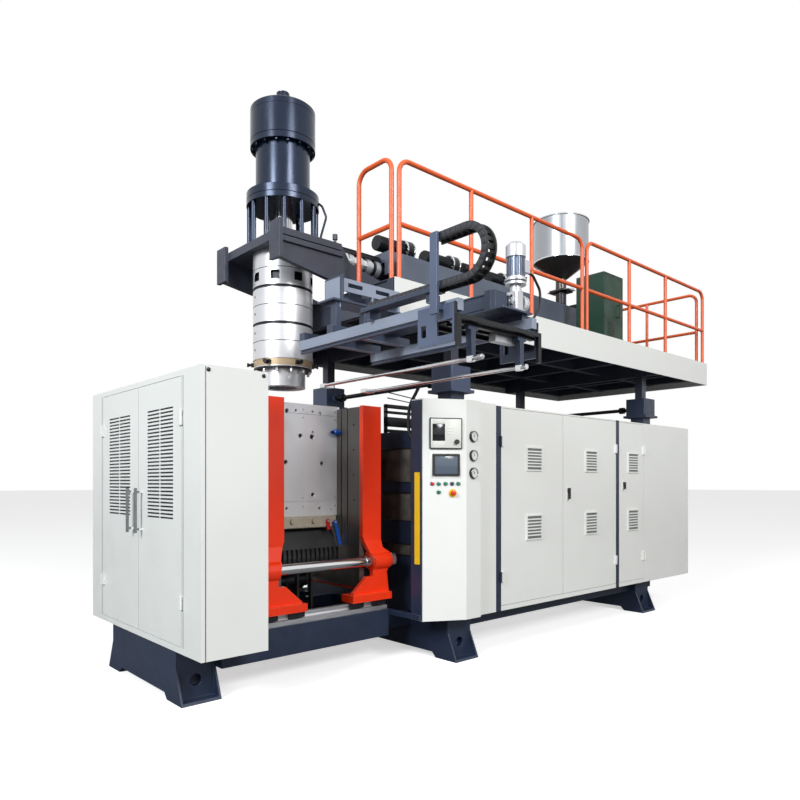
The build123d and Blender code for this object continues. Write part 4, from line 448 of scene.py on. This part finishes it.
def on_circle(radius, angles):
    """Offsets from a circle's centre, at angles in radians."""
    return [(radius * math.cos(angle), radius * math.sin(angle)) for angle in angles]


FRONT = (0, -1, 0)
RIGHT = (1, 0, 0)
LEFT = (-1, 0, 0)
UP = (0, 0, 1)

# Operator's panel: ivory controller face around its screen, terminal on a pale plate, gauges with dials
ivory = surface("controller_ivory", IVORY, grain=0.12, edge=0.001)
screen = surface("terminal_screen", SCREEN, grain=0.02, edge=0.0005)
dark_glass = surface("dark_glass", GLASS, grain=0.02, edge=0.0005)
# Each block is a range along the panel, a range of height and a range out of it
controller = [
    ((67, 81), (1847, 2091), (14, 14.8)),
    ((191, 334), (1847, 2091), (14, 14.8)),
    ((81, 191), (1847, 1904), (14, 14.8)),
    ((81, 191), (2049, 2091), (14, 14.8)),
]
blocks("controller_face", controller, ivory, "base", 0.3, panel_place)
keys = [((204, 268), (z, z + 13), (14.8, 16)) for z in (1960, 1984, 2008)]
blocks("controller_keys", keys, ivory, "base", 0.5, panel_place)
controller_glass = [((82.5, 189.5), (1905.5, 2047.5), (9, 10))]
blocks("controller_screen", controller_glass, dark_glass, "base", 0.3, panel_place)
blocks("terminal_screen", [((103.5, 304.5), (1627.5, 1776.5), (9, 10.5))], screen, "base", 0.3, panel_place)
plate = [
    ((64, 84.5), (1592, 1812), (0.2, 3)),
    ((323.5, 334), (1592, 1812), (0.2, 3)),
    ((84.5, 323.5), (1592, 1608.5), (0.2, 3)),
    ((84.5, 323.5), (1795.5, 1812), (0.2, 3)),
]
blocks("terminal_plate", plate, white, "base", 0.8, panel_place)
BUTTONS = [(82, 1545), (138, 1545), (199, 1545), (256, 1545), (312, 1545), (139, 1474)]
panel_out = panel_place(0, 0, 1) - panel_place(0, 0, 0)
bezels = [panel_place(a, z, 5) for a, z in BUTTONS]
bezel = [(15.2, 0), (18.6, 0), (18.2, 1.6), (15.6, 2.2), (15.2, 0)]
turned("button_bezels", bezel, bezels, panel_out, aluminium, "base")
dome = [(13.4, 0), (12.6, 1.2), (9.5, 2.0), (0.1, 2.4)]
for number, (a, z) in enumerate(BUTTONS, 1):
    finish = finish_of["push_button_%d" % number]
    tip = [panel_place(a, z, 13)]
    turned("button_cap_%d" % number, dome, tip, panel_out, finish, "button_%d" % number, 24)
stop = panel_place(262, 1465, 30)
turned("stop_mushroom", [(21.4, 0), (21.6, 2), (19, 5), (12, 6.8), (0.1, 7.2)], [stop], panel_out,
       finish_of["emergency_stop"], "stop_button", 36)
GAUGE_X = 1081
GAUGE_RING = 33
GAUGES = (1636, 1786, 1951)
dials = [at(GAUGE_X, -1318, z) for z in GAUGES]
turned("gauge_dials", [(39.6, 0), (39.6, 1.2), (0.1, 1.2)], dials, FRONT, ivory, "base", 40)
gauge_rim = [(38.5, 6.2), (42.5, 6.2), (41.8, 9.5), (39.5, 9.5), (38.5, 6.2)]
turned("gauge_rims", gauge_rim, dials, FRONT, chrome, "base", 40)
marks = []
for z in GAUGES:
    for step in range(11):
        angle = math.radians(225 - 27 * step)
        x, height = GAUGE_X + GAUGE_RING * math.cos(angle), z + GAUGE_RING * math.sin(angle)
        marks.append(((x - 1.4, x + 1.4), (-1319.8, -1319.1), (height - 1.4, height + 1.4)))
    marks.append(((GAUGE_X - 3, GAUGE_X + 3), (-1322, -1319.1), (z - 3, z + 3)))
blocks("gauge_marks", marks, black, "base", 0.2)
NEEDLE_ANGLE = 2.2
needle_mesh = bmesh.new()
for z in GAUGES:
    tip = Vector((math.cos(NEEDLE_ANGLE), 0, math.sin(NEEDLE_ANGLE)))
    back = Vector((math.sin(NEEDLE_ANGLE), 0, -math.cos(NEEDLE_ANGLE)))
    corners = [tip * 30, back * 2.2 - tip * 8, -back * 2.2 - tip * 8]
    lower = [needle_mesh.verts.new(at(GAUGE_X, -1320, z) + c / 1000) for c in corners]
    upper = [needle_mesh.verts.new(at(GAUGE_X, -1321, z) + c / 1000) for c in corners]
    needle_mesh.faces.new(lower)
    needle_mesh.faces.new(upper)
    for i in range(3):
        needle_mesh.faces.new((lower[i], lower[i - 1], upper[i - 1], upper[i]))
bmesh.ops.recalc_face_normals(needle_mesh, faces=needle_mesh.faces)
needles = bpy.data.meshes.new("gauge_needles")
needle_mesh.to_mesh(needles)
piece("gauge_needles", needles, black, "base")

# Mould: drilled ports with painted shade, a black disc down each, and bright countersinks; couplings, screws
MOULD_FACE = -272
RIGHT_PORTS = [
    (81, 2157, 10), (209, 2130, 19), (75, 1956, 22), (124, 1954, 22), (229, 1724, 17), (133, 1449, 17),
    (204, 1327, 11), (335, 1314, 8),
]
LEFT_PORTS = [(-133, 2166, 18), (-43, 2176, 10), (3, 1959, 19), (-145, 1728, 18), (-135, 1332, 12)]
for body, name, ports in (("right_clamp", "right", RIGHT_PORTS), ("left_clamp", "left", LEFT_PORTS)):
    for number, (x, z, radius) in enumerate(ports):
        place = at(x, MOULD_FACE, z)
        # Painted shade: a black disc down the port.
        sink = [(radius - 0.4, -24), (radius - 0.4, -22), (0.1, -22)]
        turned("%s_port_%d" % (name, number + 1), sink, [place], FRONT, black, body, 24)
        rim = [
            (radius - 0.6, -2), (radius + 3.5, 0.1), (radius + 3.8, 0.9), (radius - 0.4, -1),
            (radius - 0.6, -2),
        ]
        turned("%s_port_rim_%d" % (name, number + 1), rim, [place], FRONT, aluminium, body, 24)
cap_screws = [at(x, MOULD_FACE, z) for x in (30, 372) for z in (1345, 1420, 2120, 2190)]
hexagons("mould_screws", cap_screws, FRONT, 7, 6, steel, "right_clamp")

# Clamp: water couplings on the moulds, bright edge strip, manifold screws, panes in the partition
for body, name, x, hand in (("right_clamp", "right", 330, 1), ("left_clamp", "left", -330, -1)):
    line = [at(x, -312, 2004)]
    sleeve = [(20, 0), (26, 4), (26, 46), (21, 52), (21, 96), (25, 100), (25, 128), (18, 134)]
    turned(name + "_coupling_body", sleeve, line, (hand, 0, 0), blue, body)
    ends = [(13, -26), (13, 0), (17, 2), (17, 140), (12, 144), (12, 168)]
    turned(name + "_coupling_ends", ends, line, (hand, 0, 0), black_metal, body)
    holder = tuple(sorted((x + hand * 58, x + hand * 90)))
    clip = [(holder, (-330, MOULD_FACE), (1984, 1992)), (holder, (-290, MOULD_FACE), (1976, 2032))]
    blocks(name + "_coupling_clip", clip, black_metal, body)
blocks("mould_edge_strip", [((397, 417), (-284, -273), (1160, 2236))], aluminium, "right_clamp", 1.5)
for body, name, hand in (("right_clamp", "manifold_screws", 1), ("left_clamp", "manifold_screws_left", -1)):
    places = [at(hand * x, -318, z) for x in (28, 62, 156, 196) for z in (1180, 1246)]
    hexagons(name, places, FRONT, 6, 5, steel, body)
pane = surface("pane", PANE, grain=0.02, edge=0.0005)
WINDOWS_Y = ((-674, -70), (70, 674))
WINDOWS_Z = ((885, 985), (1202, 1458), (1559, 1868))
PANE_GAP = 0.5
BEAD_X = (936, 940)
BEAD_OUT = 8
BEAD_IN = 2
panes, beads = [], []
for left, right in WINDOWS_Y:
    for low, high in WINDOWS_Z:
        panes.append(((952, 958), (left + PANE_GAP, right - PANE_GAP), (low + PANE_GAP, high - PANE_GAP)))
        beads.append((BEAD_X, (left - BEAD_OUT, right + BEAD_OUT), (low - BEAD_OUT, low + BEAD_IN)))
        beads.append((BEAD_X, (left - BEAD_OUT, right + BEAD_OUT), (high - BEAD_IN, high + BEAD_OUT)))
        beads.append((BEAD_X, (left - BEAD_OUT, left + BEAD_IN), (low + BEAD_IN, high - BEAD_IN)))
        beads.append((BEAD_X, (right - BEAD_IN, right + BEAD_OUT), (low + BEAD_IN, high - BEAD_IN)))
blocks("partition_panes", panes, pane, "base", 0.5)
blocks("pane_beads", beads, black, "base", 1.0)

# Extruder: bands and a junction box along the barrel, finned blower motors with bright scroll rims
BARREL_Z = 3690
band = [(72, 0), (81, 0), (81, 56), (72, 56), (72, 0)]
band_places = [at(x, 0, BARREL_Z) for x in (392, 700, 812, 924, 1036)]
turned("heater_bands", band, band_places, RIGHT, aluminium, "platform", 36)
junction = [((520, 1118), (-42, 42), (3764, 3800)), ((540, 1100), (-50, 50), (3800, 3806))]
blocks("barrel_junction", junction, black_metal, "platform", 2.0)
hexagons("junction_screws", [at(x, -34, 3806) for x in range(560, 1100, 88)], UP, 6, 5, steel, "platform")
BLOWER_Z = 3970
SCROLL_START = 110
BLOWERS = ((1089, 1543), (1749, 2233), (2349, 2650), (2820, 3135))
for number, (start, end) in enumerate(BLOWERS, 1):
    fins = [(72, 6)]
    for along in range(12, end - start - 128, 13):
        fins += [(72, along), (77, along + 1), (77, along + 4), (72, along + 5)]
    turned("blower_fins_%d" % number, fins, [at(start, 0, BLOWER_Z)], RIGHT, black_metal, "platform", 32)
    scroll = [at(end - SCROLL_START, 0, BLOWER_Z)]
    front_rim = [(99, -4), (108, -3), (109, 2), (109, 12), (104, 14), (104, 4), (99, 2), (99, -4)]
    turned("blower_rim_%d" % number, front_rim, scroll, RIGHT, chrome, "platform", 48)
    back_rim = [(104, 96), (109, 98), (109, 110), (100, 112), (100, 108), (104, 106), (104, 96)]
    turned("blower_back_rim_%d" % number, back_rim, scroll, RIGHT, chrome, "platform", 48)
    screws = [
        at(end - SCROLL_START - 2, y, BLOWER_Z + z)
        for y, z in on_circle(88, (0.4, 1.4, 2.5, 3.6, 4.7, 5.8))
    ]
    hexagons("blower_screws_%d" % number, screws, LEFT, 6, 6, steel, "platform")

# Pipes and bars behind the clamp, and the thick hose beside the control cabinet
BEHIND_Y = -300
BAR_DEPTH = (BEHIND_Y - 18, BEHIND_Y + 18)
pipe_routes = []
for z_start, z_end in ((2422, 2382), (2368, 2336)):
    pipe_routes.append(
        [(978, BEHIND_Y, z_start), (1200, BEHIND_Y, (z_start + z_end) / 2), (1395, BEHIND_Y, z_end)]
    )
pipes("return_pipes", pipe_routes, 5, black_metal, "base")
BAR_SPANS = ((2271, 2306), (2219, 2243), (2094, 2185), (2040, 2066), (1900, 1990))
guard_bars = [((946, 1396), BAR_DEPTH, span) for span in BAR_SPANS]
guard_bars += [((x, x + 22), BAR_DEPTH, (1870, 2306)) for x in (946, 1374)]
blocks("guard_bars", guard_bars, black_metal, "base", 2.0)
HOSE_ROUTE = [
    (900, -838, 2440), (900, -800, 2380), (900, -700, 2265), (900, -678, 2130), (900, -690, 1985),
    (915, -740, 1925),
]
pipes("cabinet_hose", [HOSE_ROUTE], 15, black, "base")

# Gearmotor: flanges and bolts. Fittings at the left gripper's rod end.
MOTOR_X, MOTOR_Y = 330, -2345
GEAR_X, GEAR_Y, GEAR_Z = 275, -2332, 2757
flange = [(62, -6), (74, -6), (74, 8), (62, 8)]
turned("motor_flange", flange, [at(MOTOR_X, MOTOR_Y, 2900)], UP, aluminium, "platform", 32)
motor_bolts = [at(MOTOR_X + i, MOTOR_Y + j, 2908) for i, j in on_circle(68, (0.4, 1.97, 3.54, 5.11))]
hexagons("motor_bolts", motor_bolts, UP, 9, 7, black_metal, "platform")
gear_face = [at(GEAR_X, GEAR_Y, GEAR_Z)]
ring = [(20, 0), (46, 0), (49, 3), (49, 9), (30, 12), (30, 6), (20, 6)]
turned("gear_flange", ring, gear_face, LEFT, aluminium, "platform", 32)
# Painted shade: a black disc in the flange's bore.
turned("gear_bore", [(0.5, 1), (19, 1), (19, 3), (0.5, 3)], gear_face, LEFT, black, "platform", 24)
gear_bolts = [at(GEAR_X - 11, GEAR_Y + i, GEAR_Z + j) for i, j in on_circle(39, (0.8, 2.36, 3.93, 5.5))]
hexagons("gear_bolts", gear_bolts, LEFT, 7, 5, black_metal, "platform")
rod_end = [(14, 0), (17, 3), (17, 30), (14, 34), (6, 34), (6, 44)]
turned("rod_ends_left", rod_end, [at(-225, -2500, 2298)], FRONT, steel, "jaw_left", 20)

# Links on the cable chain's sides
CHAIN_LOW = 2691
CHAIN_OUTER = 166
CHAIN_MIDDLE = 144
CHAIN_BEND_Y = -2584
CHAIN_START_Y = -1718
CHAIN_END_Y = -2338


def chain_place(x, run, out):
    """A place on the chain: across it, along its middle line from the lower end, and out of its bend."""
    start, bend = CHAIN_START_Y - CHAIN_BEND_Y, math.pi * CHAIN_MIDDLE
    middle_z = CHAIN_LOW + CHAIN_OUTER
    reach = CHAIN_MIDDLE + out
    if run < start:
        return at(x, CHAIN_START_Y - run, middle_z - reach)
    if run < start + bend:
        turn = (run - start) / CHAIN_MIDDLE
        return at(x, CHAIN_BEND_Y - reach * math.sin(turn), middle_z - reach * math.cos(turn))
    return at(x, CHAIN_BEND_Y + run - start - bend, middle_z + reach)


LINK_LENGTH = 35
LINK_PITCH = 42
chain_length = CHAIN_START_Y - CHAIN_BEND_Y + math.pi * CHAIN_MIDDLE + CHAIN_END_Y - CHAIN_BEND_Y
links = []
for run in range(8, math.ceil(chain_length - 40), LINK_PITCH):
    for side in ((-440, -437.5), (-354.5, -352)):
        links.append((side, (run, run + LINK_LENGTH), (-17, 17)))
link_finish = surface("chain_link", look("2B2E35", rough=0.4, blotch=0.12, rubbed_lit_edge_colour="6B7180"), edge=0.001)
blocks("chain_links", links, link_finish, "takeout", 1.0, chain_place)

# Painted shade: dark sheets behind the louvres of the left cabinet's doors, where the cabinet's inside is in
# shade
for end, span_y in (("front", (-645, -171)), ("rear", (158, 641))):
    shade_sheets = [((-1283, -1281), span_y, (1282, 2098))]
    blocks("louvre_shade_sheet_" + end, shade_sheets, black_metal, "vent_" + end, 0.5)

# Seams and screws of the left cabinet
seams = [((-1263, -1258), (-1071.5, -1070), (300, 2310))]
seams += [((-1291.5, -1290), span_y, (430, 2280)) for span_y in ((-800, -796), (806, 810))]
blocks("cabinet_seams", seams, black, "base", 0.5)
hexagons("cabinet_screws", [at(x, -1070, 2290) for x in (-1240, -830)], FRONT, 12, 5, black, "base")

# Green drive cabinet: seams of its door
DRIVE_FRONT = -900
SEAM_DEPTH = (DRIVE_FRONT - 1.5, DRIVE_FRONT)
drive_seams = [((x, x + 4), SEAM_DEPTH, (3184, 4050)) for x in (3884, 4282)]
drive_seams.append(((3888, 4282), SEAM_DEPTH, (4046, 4050)))
blocks("drive_seams", drive_seams, black, "platform", 0.5)

# Hopper: rolled rim, and a hoop where the cone begins
hopper_top = [at(4311, 0, 5012)]
rim = [(345, 0), (363, 0), (366, -4), (366, -16), (356, -20), (356, -4), (345, -4)]
turned("hopper_rim", rim, hopper_top, UP, chrome, "platform", 64)
hoop = [(355.2, -548), (361, -546), (361, -532), (355.2, -530)]
turned("hopper_hoop", hoop, hopper_top, UP, chrome, "platform", 64)

# Green drive cabinet: vent slots in its door, drawn as dark bars of painted shade
slots = [((3950, 4120), (DRIVE_FRONT - 3, DRIVE_FRONT), (z, z + 9)) for z in range(3300, 3480, 24)]
blocks("drive_louvres", slots, black_metal, "platform", 1.0)

# Light, floor and camera

scene = bpy.context.scene
scene.view_settings.view_transform = "Standard"

world = bpy.data.worlds.new("studio")
world.use_nodes = True
scene.world = world
tree = world.node_tree
background = tree.nodes["Background"]
rays = tree.nodes.new("ShaderNodeLightPath")
seen = tree.nodes.new("ShaderNodeMath")
seen.operation = "MAXIMUM"
tree.links.new(rays.outputs["Is Camera Ray"], seen.inputs[0])
tree.links.new(rays.outputs["Is Transmission Ray"], seen.inputs[1])
mirrored = tree.nodes.new("ShaderNodeMath")
mirrored.operation = "MAXIMUM"
tree.links.new(seen.outputs["Value"], mirrored.inputs[0])
tree.links.new(rays.outputs["Is Glossy Ray"], mirrored.inputs[1])
level = tree.nodes.new("ShaderNodeMapRange")
level.inputs["To Min"].default_value = 0.30
level.inputs["To Max"].default_value = 1.0
tree.links.new(mirrored.outputs["Value"], level.inputs["Value"])
background.inputs["Color"].default_value = (1, 1, 1, 1)
tree.links.new(level.outputs["Result"], background.inputs["Strength"])


def lamp(name, place, target, size, power, tint=(1, 1, 1)):
    """A round area lamp that looks at the target."""
    light = bpy.data.lights.new(name, "AREA")
    light.shape = "DISK"
    light.size = size
    light.energy = power
    light.color = tint
    holder = bpy.data.objects.new(name, light)
    scene.collection.objects.link(holder)
    holder.location = place
    holder.rotation_euler = (Vector(target) - Vector(place)).to_track_quat("-Z", "Y").to_euler()


lamp("key", (-3.0, -14.0, 9.0), (-0.5, 0.0, 2.0), 5.0, 1600)
lamp("fill", (-15.0, -3.0, 8.0), (-2.0, 0.0, 2.0), 5.0, 1600, (0.91, 0.96, 1.0))

floor_bm = bmesh.new()
bmesh.ops.create_grid(floor_bm, x_segments=2, y_segments=2, size=150)
floor_mesh = bpy.data.meshes.new("floor")
floor_bm.to_mesh(floor_mesh)
floor = bpy.data.objects.new("floor", floor_mesh)
scene.collection.objects.link(floor)
floor_material = bpy.data.materials.new("floor")
floor_material.use_nodes = True
floor_tree = floor_material.node_tree
floor_shader = floor_tree.nodes["Principled BSDF"]
floor_shader.inputs["Roughness"].default_value = 0.9
floor_rays = floor_tree.nodes.new("ShaderNodeLightPath")
floor_tone = blend(floor_tree, floor_rays.outputs["Is Camera Ray"], (0.22, 0.22, 0.22, 1), (0.9, 0.9, 0.9, 1))
floor_tree.links.new(floor_tone, floor_shader.inputs["Base Color"])
floor_shader.inputs["Specular IOR Level"].default_value = 0.0
floor_shader.inputs["Emission Color"].default_value = (1, 1, 1, 1)
glow = floor_tree.nodes.new("ShaderNodeMath")
glow.operation = "MULTIPLY"
glow.inputs[1].default_value = 0.55
floor_tree.links.new(floor_rays.outputs["Is Camera Ray"], glow.inputs[0])
floor_tree.links.new(glow.outputs["Value"], floor_shader.inputs["Emission Strength"])
floor_mesh.materials.append(floor_material)

camera_data = bpy.data.cameras.new("camera")
camera = bpy.data.objects.new("camera", camera_data)
scene.collection.objects.link(camera)
scene.camera = camera
# The photograph's camera: focal length and horizon in pixels of an 800-pixel picture, and its bearing
PICTURE = 800
FOCAL_LENGTH = 664.4
HORIZON_DROP = 83
BEARING = 47.77
camera_data.sensor_width = 36.0
camera_data.lens = FOCAL_LENGTH / PICTURE * camera_data.sensor_width
camera_data.shift_y = HORIZON_DROP / PICTURE
camera_data.clip_end = 400
camera.location = at(-3224, -5111, 1550)
camera.rotation_euler = (math.radians(90), 0, math.radians(BEARING - 90))
